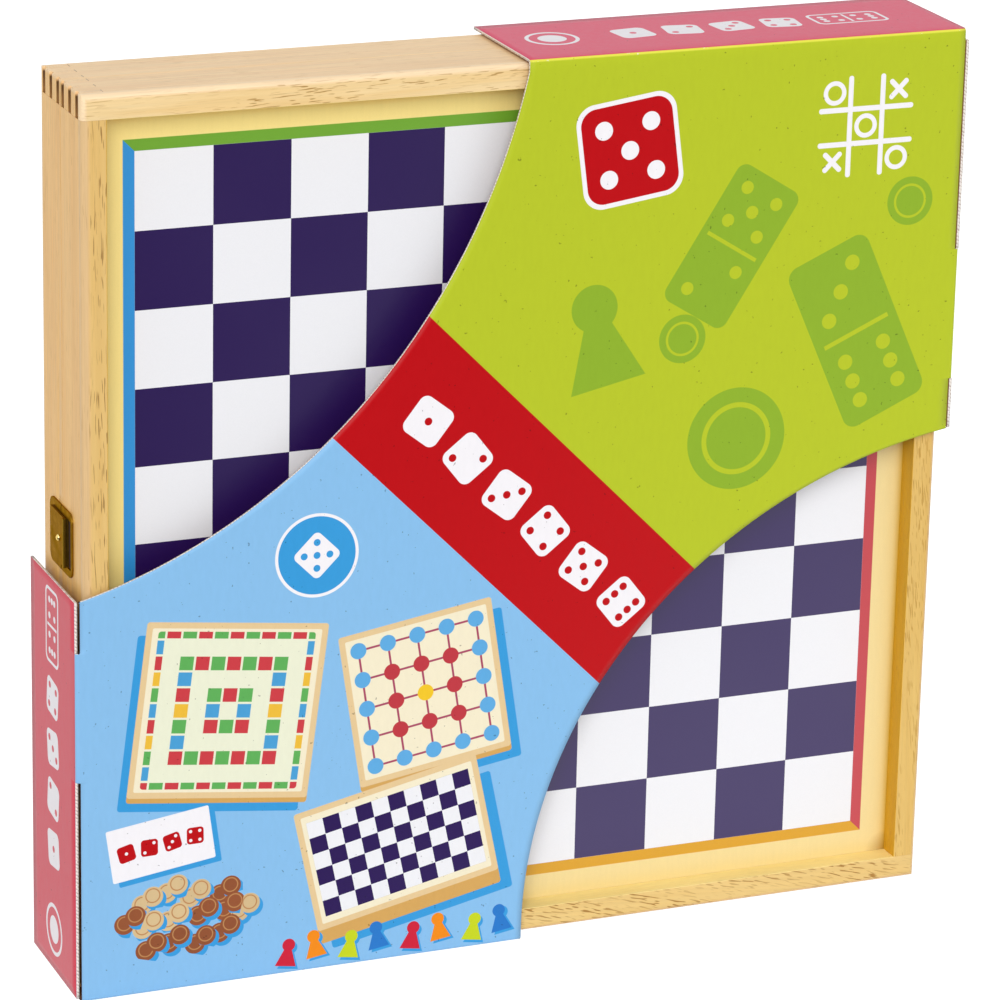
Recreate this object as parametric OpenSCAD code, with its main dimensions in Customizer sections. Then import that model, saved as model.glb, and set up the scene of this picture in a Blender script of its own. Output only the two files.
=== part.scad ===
// Wooden games compendium box: two comb-jointed trays hinged like a book, with the
// games inside and a folded card sleeve slipped over the front.
// X runs to the right, Y away from the viewer and Z up. Z = 0 is the ground under the
// card, and Y = 0 is the seam between the two trays.

/* [Trays] */
// Width of the closed box
box_w = 290; // [250:1:340]
// Height of the closed box
box_h = 290; // [250:1:340]
// Depth of one tray
tray_depth = 21; // [20:0.5:26]
// Thickness of a side rail
rail_t = 8; // [7:0.5:10]
// Gap between the closed trays
seam_gap = 0.3; // [0.2:0.05:0.6]
// Radius of the rounded outer edges
edge_r = 2; // [1:0.25:2.5]
// Thickness of a game board
board_t = 3; // [2.5:0.25:3.5]
// How far each outer board lies below its rails
board_recess = 7.5; // [6:0.25:8]
// How far a board enters its rails
groove_depth = 3; // [2:0.25:4]
// Clearance of a board in its groove
groove_clearance = 0.05; // [0.02:0.01:0.1]

/* [Comb joints] */
// Width of one finger
finger_w = 2.7; // [2:0.1:3.2]
// Distance from one finger to the next
comb_pitch = 7.1; // [6:0.1:9]
// Distance from the outer face to the middle of the first finger
comb_first = 4.3; // [4:0.1:5]
// How far the finger tips lie below the side face
finger_setback = 0.8; // [0.2:0.1:1.5]
// Glue gap on each side of a finger
glue_gap = 0.05; // [0.02:0.01:0.1]

/* [Hinges] */
// Height of the lower hinge above the box's foot
hinge_low = 60; // [40:1:80]
// Distance of the upper hinge below the box's top
hinge_high = 60; // [40:1:80]
// Length of a hinge along its pin
hinge_len = 26; // [20:1:36]
// Width of one hinge leaf
leaf_w = 11; // [9:0.5:12]
// Thickness of a hinge leaf
leaf_t = 0.8; // [0.6:0.1:1]
// Radius of the hinge barrel
barrel_r = 1.5; // [1.3:0.1:1.6]
// Distance of the hinge pin from the side face
hinge_axis_out = 2; // [2:0.1:2.2]
// Radius of the hinge pin
hinge_pin_r = 0.75; // [0.6:0.05:0.9]
// Clearance round every pin
pin_clearance = 0.05; // [0.02:0.01:0.08]
// Gap between two knuckles
knuckle_gap = 0.25; // [0.15:0.05:0.4]
// Distance from the seam to a hinge leaf's plate
leaf_setback = 1.3; // [1.2:0.1:1.6]

/* [Screws and nails] */
// Radius of a screw's shank
screw_r = 0.8; // [0.7:0.05:1]
// Length of a screw in the wood
screw_len = 5.5; // [4:0.5:6.5]
// Radius of a screw's head
screw_head_r = 1.7; // [1.5:0.1:2]
// Height of a screw's head
screw_head_h = 0.7; // [0.5:0.1:0.9]
// Radius of a nail's shank
nail_r = 0.5; // [0.4:0.05:0.6]
// Length of a nail in the wood
nail_len = 5; // [4:0.5:6.5]
// Radius of a nail's countersunk head
nail_head_r = 1; // [0.9:0.05:1.2]
// Clearance of a screw or nail in its hole
fixing_clearance = 0.03; // [0.01:0.01:0.08]

/* [Clasp] */
// Height of the clasp
clasp_h = 21; // [17:0.5:26]
// How far the base plate reaches back from the seam
clasp_back = 11.8; // [11:0.2:15]
// How far the catch plate reaches forward from the seam
clasp_front = 11; // [10.5:0.2:15]
// Thickness of the base and catch plates
clasp_plate_t = 0.6; // [0.5:0.05:0.8]
// Corner radius of the clasp's plates
clasp_corner_r = 3; // [2:0.25:4]
// Distance from the seam to the clasp's pin
clasp_axis_back = 9.8; // [9:0.1:10]
// Radius of the clasp's barrel
clasp_barrel_r = 0.95; // [0.85:0.05:1.1]
// Length of the clasp's barrel
clasp_barrel_len = 10.6; // [8:0.2:14]
// Radius of the clasp's pin
clasp_pin_r = 0.5; // [0.4:0.05:0.6]
// Thickness of the flap
flap_t = 0.7; // [0.6:0.05:0.8]
// Height of the flap
flap_h = 16; // [13:0.5:16]
// How far the flap reaches forward of the seam
flap_front = 6.2; // [5:0.2:7]
// Gap between the flap and the plates under it
flap_gap = 0.15; // [0.1:0.05:0.3]
// Radius of the curl along the flap's free edge
flap_curl_r = 0.6; // [0.5:0.05:0.8]
// Radius of the button on the flap
button_r = 1.1; // [0.8:0.1:1.6]
// Height of the button on the flap
button_h = 0.9; // [0.6:0.1:1.2]
// Width of the finger slot in the catch plate
slot_w = 3.4; // [2.4:0.1:3.6]
// Height of the finger slot
slot_h = 16; // [12:0.5:16]
// Depth of the finger slot in the wood
slot_depth = 2; // [1:0.25:3]

/* [Card sleeve] */
// Thickness of the card
card_t = 1.4; // [1:0.1:1.8]
// Gap between the card and the front of the box
card_front_gap = 1.2; // [0.4:0.1:2]
// Gap between the card and the left and right sides of the box
card_side_gap = 2.1; // [1.8:0.1:3]
// Gap between the card and the top and foot of the box
card_end_gap = 0.2; // [0.1:0.05:0.6]
// Gap between the clasp and the card's left flap below it
clasp_card_gap = 3.1; // [1:0.1:30]
// Height of the right edge of the front panel, from its top
right_edge_h = 133; // [100:0.5:180]
// Length of the top edge of the front panel, from its right side
top_edge_l = 150; // [120:0.5:180]
// Length of the foot edge of the front panel, from its left side
foot_edge_l = 150; // [120:0.5:180]
// Half width of the ellipse that curves the upper left cut-out
upper_cut_a = 193.5; // [170:0.5:260]
// Half height of the ellipse that curves the upper left cut-out
upper_cut_b = 208.5; // [170:0.5:260]
// Half width of the ellipse that curves the lower right cut-out
lower_cut_a = 175.5; // [150:0.5:260]
// Half height of the ellipse that curves the lower right cut-out
lower_cut_b = 159; // [150:0.5:260]
// Depth of the short right flap behind the front panel
right_flap_d = 9; // [6:0.25:9]
// How far the deep flaps reach past the back of the box
flap_past_back = 2.6; // [0:0.1:5]
// Slit between two flaps at a corner
corner_slit = 0.4; // [0.3:0.1:1]

/* [Games] */
// Diameter of a draughtsman
man_d = 20; // [16:0.5:20.5]
// Thickness of a draughtsman
man_t = 4.5; // [3.5:0.1:4.5]
// Width of the bevel round a draughtsman
man_bevel = 0.8; // [0.4:0.1:1.2]
// Gap between two loose pieces
piece_gap = 0.1; // [0.05:0.05:0.2]
// Height of the rules booklet
booklet_h = 90; // [70:1:120]
// Width of the rules booklet
booklet_w = 130; // [100:1:150]
// Thickness of the rules booklet
booklet_t = 2; // [1.5:0.1:2]
// Width of a horse pawn
horse_w = 14; // [12:0.5:14]
// Height of a horse pawn
horse_h = 27; // [22:0.5:34]
// Width of a goose pawn
goose_w = 12.6; // [11:0.2:12.8]
// Height of a goose pawn
goose_h = 23; // [18:0.5:30]
// Depth of the foot of a pawn
pawn_d = 8; // [6.5:0.25:8.5]
// Edge length of a die
die_size = 14; // [12:0.5:14]

/* [Hidden] */

$fn = 48;
eps = 0.5;

// Places of the box
foot_z = card_t + card_end_gap;
top_z = foot_z + box_h;
mid_z = foot_z + box_h / 2;
side_x = box_w / 2;
inner_x = side_x - rail_t;
inner_foot_z = foot_z + rail_t;
inner_top_z = top_z - rail_t;
board_y = tray_depth - board_recess - board_t / 2;
board_inner_y = tray_depth - board_recess - board_t;
board_w = box_w - 2 * rail_t + 2 * groove_depth;
board_h = box_h - 2 * rail_t + 2 * groove_depth;

// Side rail fingers that fit the depth of a tray
comb_margin = 0.8;
comb_count = 1 + floor((tray_depth - comb_first - finger_w / 2 - comb_margin) / comb_pitch);

// Places of the hinges: each knuckle takes a third of the length
hinge_x = side_x + hinge_axis_out;
lower_hinge_z = foot_z + hinge_low;
upper_hinge_z = top_z - hinge_high;
hinge_zs = [lower_hinge_z, upper_hinge_z];
knuckle_len = hinge_len / 3;
screw_y = leaf_setback + (leaf_w - leaf_setback) / 2;
screw_dz = hinge_len / 2 - screw_head_r - 3;

// Places of the clasp
clasp_axis_x = -(side_x + clasp_plate_t + clasp_barrel_r);
clasp_knuckle_len = clasp_barrel_len / 3;
flap_in_x = -(side_x + clasp_plate_t + flap_gap);
slot_edge_y = flap_front + 0.1;
nail_dz = clasp_h / 2 - 5;
nail_back_y = 4;
nail_front_y = 3;

// Places of the card: its outer faces, and the height of its left edge from its foot
card_x = side_x + card_side_gap + card_t;
card_y = tray_depth + card_front_gap + card_t;
card_top_z = top_z + card_end_gap + card_t;
card_back_y = tray_depth + flap_past_back;
left_edge_h = mid_z - clasp_h / 2 - clasp_card_gap;

// Places of the loose pieces, which stand on the foot rail: dice, men, horses and geese
// from left to right, with as many columns and layers of men as the space holds
pieces_x = -inner_x + 0.5;
booklet_y = -board_inner_y + piece_gap;
pieces_y = booklet_y + booklet_t + piece_gap;
die_pitch = die_size + 2 * piece_gap;
man_pitch = man_d + 2 * piece_gap;
layer_pitch = man_t + piece_gap;
horse_pitch = horse_w + 2 * piece_gap;
goose_pitch = goose_w + 2 * piece_gap;
pawn_pitch_y = pawn_d + 2 * piece_gap;
horse_columns = 8;
men_x = pieces_x + 2 * die_pitch;
men_space = inner_x - men_x - horse_columns * horse_pitch - 2 * goose_pitch;
men_columns = floor(men_space / man_pitch);
layers = floor((board_inner_y - pieces_y) / layer_pitch);
horse_x = men_x + men_columns * man_pitch;
goose_x = horse_x + horse_columns * horse_pitch;
base_h = 2.5;
body_t = 5;

// ---- Trays --------------------------------------------------------------------------

// A rectangle w wide that reaches from y = -d to y = -seam_gap / 2, with both corners
// at y = -d rounded
module rounded_front(w, d) {
    union() {
        translate([-w / 2, -d + edge_r]) square([w, d - edge_r - seam_gap / 2]);
        translate([-w / 2 + edge_r, -d]) square([w - 2 * edge_r, edge_r + eps]);
        for (s = [-1, 1]) translate([s * (w / 2 - edge_r), -d + edge_r]) circle(edge_r);
    }
}

// Space that the front tray's rails fill, with its outer edges rounded
module tray_envelope() {
    intersection() {
        translate([0, 0, foot_z]) linear_extrude(box_h) rounded_front(box_w, tray_depth);
        translate([-side_x, 0, mid_z])
            rotate([90, 0, 90])
                linear_extrude(box_w)
                    rotate(-90) rounded_front(box_h, tray_depth);
    }
}

// A board, or its groove when the clearance is added
module board_blank(clearance) {
    translate([0, -board_y, mid_z])
        cube([board_w + 2 * clearance, board_t + 2 * clearance, board_h + 2 * clearance],
            center = true);
}

// Boxes at the places of the comb's fingers at the top right corner
module comb(w, x_from, x_to, z_from, z_to) {
    for (i = [0 : comb_count - 1])
        translate([x_from, -tray_depth + comb_first + i * comb_pitch - w / 2, z_from])
            cube([x_to - x_from, w, z_to - z_from]);
}

// Rail along the top, its ends notched for the side rails' fingers
module top_rail() {
    intersection() {
        tray_envelope();
        difference() {
            translate([-side_x, -tray_depth, inner_top_z]) cube([box_w, tray_depth, rail_t]);
            for (s = [0, 1])
                mirror([s, 0, 0])
                    comb(finger_w, inner_x, side_x + eps, inner_top_z - eps, top_z + eps);
            board_blank(groove_clearance);
        }
    }
}

module foot_rail() {
    translate([0, 0, 2 * mid_z]) mirror([0, 0, 1]) top_rail();
}

// Fingers of the right rail at its top end
module right_fingers() {
    comb(finger_w - 2 * glue_gap, inner_x + glue_gap, side_x - finger_setback,
        inner_top_z - eps, top_z);
}

// Rail along the right side with its fingers
module right_rail() {
    intersection() {
        tray_envelope();
        difference() {
            union() {
                translate([inner_x, -tray_depth, inner_foot_z])
                    cube([rail_t, tray_depth, box_h - 2 * rail_t]);
                right_fingers();
                translate([0, 0, 2 * mid_z]) mirror([0, 0, 1]) right_fingers();
            }
            board_blank(groove_clearance);
        }
    }
}

// Pilot holes of the hinge screws in a right rail
module hinge_pilots() {
    each_hinge_screw()
        translate([0, 0, -screw_len - 0.2])
            cylinder(r = screw_r + fixing_clearance, h = screw_len + 0.2 + eps);
}

// Pilot holes of a pair of clasp nails in a left rail
module nail_pilots(y) {
    each_nail(y)
        translate([0, 0, -nail_len - 0.2])
            cylinder(r = nail_r + fixing_clearance, h = nail_len + 0.2 + eps);
}

module front_top_rail() { color([0.90, 0.78, 0.60]) top_rail(); }
module front_foot_rail() { color([0.90, 0.76, 0.55]) foot_rail(); }
module front_left_rail() {
    color([0.88, 0.74, 0.54])
        difference() {
            mirror([1, 0, 0]) right_rail();
            nail_pilots(-nail_front_y);
            translate([-side_x - eps, -slot_edge_y - slot_w, mid_z - slot_h / 2])
                cube([slot_depth + eps, slot_w, slot_h]);
        }
}
module front_right_rail() {
    color([0.90, 0.76, 0.55]) difference() { right_rail(); hinge_pilots(); }
}
module front_board() { color([0.35, 0.28, 0.50]) board_blank(0); }

module back_top_rail() { color([0.90, 0.78, 0.60]) mirror([0, 1, 0]) top_rail(); }
module back_foot_rail() { color([0.90, 0.76, 0.55]) mirror([0, 1, 0]) foot_rail(); }
module back_left_rail() {
    color([0.88, 0.74, 0.54])
        difference() {
            mirror([1, 0, 0]) mirror([0, 1, 0]) right_rail();
            nail_pilots(nail_back_y);
        }
}
module back_right_rail() {
    color([0.90, 0.76, 0.55])
        mirror([0, 1, 0]) difference() { right_rail(); hinge_pilots(); }
}
module back_board() { color([0.92, 0.86, 0.60]) mirror([0, 1, 0]) board_blank(0); }

// ---- Hinges -------------------------------------------------------------------------

// Puts its children at each screw of the front leaves, with Z out of the right side
module each_hinge_screw() {
    for (z = hinge_zs, s = [-1, 1])
        translate([side_x, -screw_y, z + s * screw_dz]) rotate([0, 90, 0]) children();
}

// Knuckle of a hinge: a bored barrel with the web that ties it to its leaf
module hinge_knuckle(z_from, z_to) {
    difference() {
        union() {
            translate([hinge_x, 0, z_from]) cylinder(r = barrel_r, h = z_to - z_from);
            translate([side_x, -leaf_setback - eps, z_from])
                cube([hinge_axis_out - barrel_r + leaf_t, leaf_setback + eps - 0.4,
                    z_to - z_from]);
        }
        translate([hinge_x, 0, z_from - eps])
            cylinder(r = hinge_pin_r + pin_clearance, h = z_to - z_from + 2 * eps);
    }
}

// Plate of a front leaf with its screw holes
module leaf_plate(z) {
    difference() {
        translate([side_x, -leaf_w, z - hinge_len / 2])
            cube([leaf_t, leaf_w - leaf_setback, hinge_len]);
        each_hinge_screw()
            translate([0, 0, -eps])
                cylinder(r = screw_r + fixing_clearance, h = leaf_t + 2 * eps);
    }
}

// Front leaf: it carries the two outer knuckles
module front_leaf(z) {
    color([0.80, 0.62, 0.28])
        union() {
            leaf_plate(z);
            hinge_knuckle(z - hinge_len / 2, z - knuckle_len / 2 - knuckle_gap / 2);
            hinge_knuckle(z + knuckle_len / 2 + knuckle_gap / 2, z + hinge_len / 2);
        }
}

// Back leaf: it carries the middle knuckle
module back_leaf(z) {
    color([0.80, 0.62, 0.28])
        mirror([0, 1, 0])
            union() {
                leaf_plate(z);
                hinge_knuckle(z - knuckle_len / 2 + knuckle_gap / 2,
                    z + knuckle_len / 2 - knuckle_gap / 2);
            }
}

module hinge_pin(z) {
    color([0.72, 0.56, 0.26])
        translate([hinge_x, 0, z - hinge_len / 2]) cylinder(r = hinge_pin_r, h = hinge_len);
}

// Screw with a slotted dome head that rests on a plate of thickness t
module screw(t) {
    translate([0, 0, -screw_len]) cylinder(r = screw_r, h = screw_len + t + eps / 2);
    translate([0, 0, t])
        difference() {
            intersection() {
                cylinder(r = screw_head_r, h = screw_head_h);
                translate([0, 0, screw_head_h - 3 * screw_head_r])
                    sphere(r = 3 * screw_head_r);
            }
            translate([-screw_head_r, -0.2, screw_head_h - 0.3])
                cube([2 * screw_head_r, 0.4, 1]);
        }
}

module hinge_screws_front() {
    color([0.78, 0.64, 0.34]) each_hinge_screw() screw(leaf_t);
}
module hinge_screws_back() {
    color([0.78, 0.64, 0.34]) mirror([0, 1, 0]) each_hinge_screw() screw(leaf_t);
}
module upper_hinge_front_leaf() { front_leaf(upper_hinge_z); }
module upper_hinge_back_leaf() { back_leaf(upper_hinge_z); }
module upper_hinge_pin() { hinge_pin(upper_hinge_z); }
module lower_hinge_front_leaf() { front_leaf(lower_hinge_z); }
module lower_hinge_back_leaf() { back_leaf(lower_hinge_z); }
module lower_hinge_pin() { hinge_pin(lower_hinge_z); }

// ---- Clasp --------------------------------------------------------------------------

// Puts its children at two nails at depth y, with Z out of the left side
module each_nail(y) {
    for (s = [-1, 1])
        translate([-side_x, y, mid_z + s * nail_dz]) rotate([0, -90, 0]) children();
}

// Plate on the left side from the seam to y = reach, with its two outer corners rounded
module clasp_plate(reach) {
    length = reach - seam_gap;
    translate([-side_x, seam_gap, mid_z])
        rotate([0, -90, 0])
            linear_extrude(clasp_plate_t)
                union() {
                    translate([-clasp_h / 2, 0]) square([clasp_h, length - clasp_corner_r]);
                    translate([-clasp_h / 2 + clasp_corner_r, 0])
                        square([clasp_h - 2 * clasp_corner_r, length]);
                    for (s = [-1, 1])
                        translate([s * (clasp_h / 2 - clasp_corner_r), length - clasp_corner_r])
                            circle(clasp_corner_r);
                }
}

// Countersunk holes of the nails in a plate
module nail_holes(y) {
    each_nail(y) {
        translate([0, 0, -eps])
            cylinder(r = nail_r + fixing_clearance, h = clasp_plate_t + 2 * eps);
        translate([0, 0, clasp_plate_t - (nail_head_r - nail_r)])
            cylinder(r1 = nail_r + fixing_clearance, r2 = nail_head_r + fixing_clearance,
                h = nail_head_r - nail_r);
    }
}

// Nail flush with its plate
module nail() {
    cone_h = nail_head_r - nail_r;
    translate([0, 0, -nail_len]) cylinder(r = nail_r, h = nail_len + clasp_plate_t);
    translate([0, 0, clasp_plate_t - cone_h])
        cylinder(r1 = nail_r, r2 = nail_head_r, h = cone_h);
}

// Bore of the clasp's pin
module clasp_bore() {
    translate([clasp_axis_x, clasp_axis_back, mid_z - clasp_barrel_len / 2 - eps])
        cylinder(r = clasp_pin_r + pin_clearance, h = clasp_barrel_len + 2 * eps);
}

// Base plate on the back tray with its two outer knuckles
module clasp_base() {
    color([0.74, 0.58, 0.24])
        difference() {
            union() {
                clasp_plate(clasp_back);
                for (s = [-1, 1]) {
                    z = mid_z + s * (clasp_barrel_len - clasp_knuckle_len) / 2;
                    translate([clasp_axis_x, clasp_axis_back,
                        z - clasp_knuckle_len / 2 + knuckle_gap / 2])
                        cylinder(r = clasp_barrel_r, h = clasp_knuckle_len - knuckle_gap);
                    translate([clasp_axis_x, clasp_axis_back,
                        z - clasp_knuckle_len / 2 + knuckle_gap / 2])
                        cube([clasp_barrel_r + eps, clasp_barrel_r,
                            clasp_knuckle_len - knuckle_gap]);
                }
            }
            nail_holes(nail_back_y);
            clasp_bore();
        }
}

// Catch plate on the front tray with its finger slot
module clasp_catch() {
    color([0.74, 0.58, 0.24])
        difference() {
            mirror([0, 1, 0]) clasp_plate(clasp_front);
            nail_holes(-nail_front_y);
            translate([-side_x - clasp_plate_t - eps, -slot_edge_y - slot_w,
                mid_z - slot_h / 2])
                cube([clasp_plate_t + 2 * eps, slot_w, slot_h]);
        }
}

// Flap with its middle knuckle and its curled free edge
module clasp_flap() {
    flap_back = clasp_axis_back - clasp_barrel_r - 0.3;
    knuckle = clasp_knuckle_len - knuckle_gap;
    color([0.78, 0.62, 0.28])
        difference() {
            union() {
                translate([flap_in_x - flap_t, -flap_front, mid_z - flap_h / 2])
                    cube([flap_t, flap_front + flap_back, flap_h]);
                translate([flap_in_x - flap_curl_r, -flap_front + flap_curl_r,
                    mid_z - flap_h / 2])
                    cylinder(r = flap_curl_r, h = flap_h);
                translate([clasp_axis_x, clasp_axis_back, mid_z - knuckle / 2])
                    cylinder(r = clasp_barrel_r - flap_gap, h = knuckle);
                translate([flap_in_x - flap_t, flap_back - eps, mid_z - knuckle / 2])
                    cube([flap_t, clasp_axis_back - flap_back + eps, knuckle]);
            }
            clasp_bore();
            translate([flap_in_x + eps, 0, mid_z])
                rotate([0, -90, 0])
                    cylinder(r = button_r / 2 + fixing_clearance, h = 2 * eps + flap_t);
        }
}

module clasp_pin() {
    color([0.70, 0.54, 0.24])
        translate([clasp_axis_x, clasp_axis_back, mid_z - clasp_barrel_len / 2])
            cylinder(r = clasp_pin_r, h = clasp_barrel_len);
}

// Domed button riveted through the flap
module clasp_button() {
    dome_r = (button_r * button_r + button_h * button_h) / (2 * button_h);
    color([0.86, 0.72, 0.38])
        translate([flap_in_x - flap_t, 0, mid_z])
            rotate([0, -90, 0])
                union() {
                    translate([0, 0, -flap_t]) cylinder(r = button_r / 2, h = flap_t + 0.2);
                    intersection() {
                        cylinder(r = button_r, h = button_h);
                        translate([0, 0, button_h - dome_r]) sphere(r = dome_r);
                    }
                }
}

module clasp_nails_back() { color([0.82, 0.66, 0.34]) each_nail(nail_back_y) nail(); }
module clasp_nails_front() { color([0.82, 0.66, 0.34]) each_nail(-nail_front_y) nail(); }

// ---- Card sleeve --------------------------------------------------------------------

// Ellipse with half axes a and b through the points p and q, its centre on the left of
// the way from p to q: a circle of radius 1 once both axes are scaled away
module cut_ellipse(p, q, a, b) {
    half = [(q[0] - p[0]) / 2 / a, (q[1] - p[1]) / 2 / b];
    d = norm(half);
    away = sqrt(1 - d * d) / d;
    centre = [(p[0] + q[0]) / 2 - half[1] * away * a, (p[1] + q[1]) / 2 + half[0] * away * b];
    polygon([for (t = [0 : 3 : 357]) centre + [a * cos(t), b * sin(t)]]);
}

// Front panel: a square sheet less the two curved corners
module sleeve_front_panel() {
    color([0.72, 0.80, 0.18])
        translate([0, -card_y + card_t, 0])
            rotate([90, 0, 0])
                linear_extrude(card_t)
                    difference() {
                        translate([-card_x, 0]) square([2 * card_x, card_top_z]);
                        cut_ellipse([-card_x, left_edge_h],
                            [card_x - top_edge_l, card_top_z], upper_cut_a, upper_cut_b);
                        cut_ellipse([card_x, card_top_z - right_edge_h],
                            [-card_x + foot_edge_l, 0], lower_cut_a, lower_cut_b);
                    }
}
module sleeve_left_flap() {
    color([0.80, 0.33, 0.38])
        translate([-card_x, -card_y + card_t, card_t + corner_slit])
            cube([card_t, card_y - card_t + card_back_y, left_edge_h - card_t - corner_slit]);
}
module sleeve_right_flap() {
    color([0.72, 0.80, 0.18])
        translate([card_x - card_t, -card_y + card_t, card_top_z - right_edge_h])
            cube([card_t, right_flap_d, right_edge_h - card_t - corner_slit]);
}
module sleeve_top_flap() {
    color([0.84, 0.42, 0.50])
        translate([card_x - top_edge_l, -card_y + card_t, card_top_z - card_t])
            cube([top_edge_l, card_y - card_t + card_back_y, card_t]);
}
module sleeve_foot_flap() {
    color([0.55, 0.76, 0.94])
        translate([-card_x, -card_y + card_t, 0])
            cube([foot_edge_l, card_y - card_t + card_back_y, card_t]);
}

// ---- Games --------------------------------------------------------------------------

// Draughtsman: a turned disc with bevelled edges and a dished ring in both faces
module draughtsman() {
    r = man_d / 2;
    c = man_bevel;
    dish = 0.4;
    ring = [r * 0.56, r * 0.62, r * 0.72, r * 0.78];
    rotate([-90, 0, 0])
        rotate_extrude()
            polygon([[0, 0], [ring[0], 0], [ring[1], dish], [ring[2], dish], [ring[3], 0],
                [r - c, 0], [r, c], [r, man_t - c], [r - c, man_t], [ring[3], man_t],
                [ring[2], man_t - dish], [ring[1], man_t - dish], [ring[0], man_t],
                [0, man_t]]);
}

// Block of men: columns side by side, each some layers deep
module men_block(z) {
    for (i = [0 : men_columns - 1], k = [0 : layers - 1])
        translate([men_x + man_pitch * (i + 0.5), pieces_y + k * layer_pitch, z])
            draughtsman();
}

module draughtsmen_light() {
    color([0.93, 0.84, 0.66]) men_block(inner_foot_z + piece_gap + man_d / 2);
}
module draughtsmen_dark() {
    color([0.45, 0.24, 0.12]) men_block(inner_foot_z + 2 * piece_gap + man_d * 3 / 2);
}

module rules_booklet() {
    color([0.95, 0.95, 0.92])
        translate([pieces_x, booklet_y, inner_foot_z + piece_gap])
            cube([booklet_w, booklet_t, booklet_h]);
}

// Die with its corners rounded by a sphere; i counts from the lower left
module die(i) {
    column = i < 3 ? 0 : 1;
    row = i < 3 ? i : i - 3;
    color([0.80, 0.10, 0.14])
        translate([pieces_x + die_pitch * (column + 0.5), pieces_y + die_size / 2 + 1,
            inner_foot_z + piece_gap + die_size / 2 + row * (die_size + piece_gap)])
            intersection() {
                cube(die_size, center = true);
                sphere(r = die_size * 0.7, $fn = 64);
            }
}

// Foot of a pawn: a plate with rounded corners
module pawn_foot(w) {
    r = 2;
    linear_extrude(base_h)
        union() {
            translate([-w / 2 + r, 0]) square([w - 2 * r, pawn_d]);
            translate([-w / 2, r]) square([w, pawn_d - 2 * r]);
            for (x = [-w / 2 + r, w / 2 - r], y = [r, pawn_d - r])
                translate([x, y]) circle(r);
        }
}

// A flat figure that stands upright in the middle of its foot
module upright() {
    translate([0, pawn_d / 2 + body_t / 2, base_h - 0.2])
        rotate([90, 0, 0]) linear_extrude(body_t) children();
}

// Horse's head and neck: the outline is in shares of the foot's width and the body's
// height
module horse() {
    body_h = horse_h - base_h + 0.2;
    pawn_foot(horse_w);
    upright()
        polygon([for (p = [[-0.36, 0], [0.38, 0], [0.36, 0.16], [0.30, 0.34], [0.34, 0.52],
            [0.32, 0.72], [0.20, 0.86], [0.06, 1.0], [-0.02, 0.90], [-0.22, 0.80],
            [-0.42, 0.62], [-0.46, 0.52], [-0.36, 0.45], [-0.16, 0.54], [-0.08, 0.48],
            [-0.20, 0.32], [-0.32, 0.16]]) [p[0] * horse_w, p[1] * body_h]]);
}

// Goose: a round body, a slanting neck, a head and a beak
module goose() {
    body_r = goose_w * 0.36;
    head_r = goose_w * 0.15;
    head_z = goose_h - base_h + 0.2 - head_r;
    pawn_foot(goose_w);
    upright()
        union() {
            translate([-goose_w * 0.22, 0]) square([goose_w * 0.44, body_r]);
            translate([goose_w * 0.08, body_r + 0.8]) circle(body_r);
            polygon([[-goose_w * 0.27, body_r], [goose_w * 0.05, body_r + 1],
                [-goose_w * 0.08, head_z], [-goose_w * 0.34, head_z]]);
            translate([-goose_w * 0.21, head_z]) circle(head_r);
            polygon([[-goose_w * 0.3, head_z - 1], [-goose_w * 0.48, head_z - 0.8],
                [-goose_w * 0.3, head_z + 1]]);
            polygon([[goose_w * 0.2, body_r], [goose_w * 0.48, body_r * 2 + 1.2],
                [goose_w * 0.1, body_r * 2 + 0.6]]);
        }
}

// Four horses of one colour: two columns, each two deep
module horse_group(i, c) {
    color(c)
        for (column = [0, 1], row = [0, 1])
            translate([horse_x + horse_pitch * (2 * i + column + 0.5),
                pieces_y + row * pawn_pitch_y, inner_foot_z + piece_gap])
                horse();
}

// One goose at column 0 or 1 and row 0 or 1
module goose_at(column, row, c) {
    color(c)
        translate([goose_x + goose_pitch * (column + 0.5), pieces_y + row * pawn_pitch_y,
            inner_foot_z + piece_gap])
            goose();
}

front_top_rail();
front_foot_rail();
front_left_rail();
front_right_rail();
front_board();
back_top_rail();
back_foot_rail();
back_left_rail();
back_right_rail();
back_board();
upper_hinge_front_leaf();
upper_hinge_back_leaf();
upper_hinge_pin();
lower_hinge_front_leaf();
lower_hinge_back_leaf();
lower_hinge_pin();
hinge_screws_front();
hinge_screws_back();
clasp_base();
clasp_flap();
clasp_pin();
clasp_button();
clasp_catch();
clasp_nails_back();
clasp_nails_front();
sleeve_front_panel();
sleeve_left_flap();
sleeve_right_flap();
sleeve_top_flap();
sleeve_foot_flap();
draughtsmen_light();
draughtsmen_dark();
rules_booklet();
die(0);  // die_1
die(1);  // die_2
die(2);  // die_3
die(3);  // die_4
die(4);  // die_5
horse_group(0, [0.82, 0.12, 0.16]);  // horse_pawns_red
horse_group(1, [0.95, 0.50, 0.12]);  // horse_pawns_orange
horse_group(2, [0.62, 0.76, 0.16]);  // horse_pawns_green
horse_group(3, [0.28, 0.62, 0.88]);  // horse_pawns_blue
goose_at(0, 0, [0.82, 0.12, 0.16]);  // goose_pawn_red
goose_at(1, 0, [0.95, 0.50, 0.12]);  // goose_pawn_orange
goose_at(0, 1, [0.62, 0.76, 0.16]);  // goose_pawn_green
goose_at(1, 1, [0.28, 0.62, 0.88]);  // goose_pawn_blue
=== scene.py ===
"""Looks of a wooden games compendium box that stands in a folded card sleeve.

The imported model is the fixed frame. Every piece is made at its real size in the frame's own
axes: X to the right, Y away from the viewer, Z up, in metres, with Y = 0 on the seam between
the two trays. Sizes inside the classes are in millimetres.
"""

from __future__ import annotations

import logging
import math
from dataclasses import dataclass
from enum import Enum
from typing import Iterable, Mapping, Sequence, Union

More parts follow.
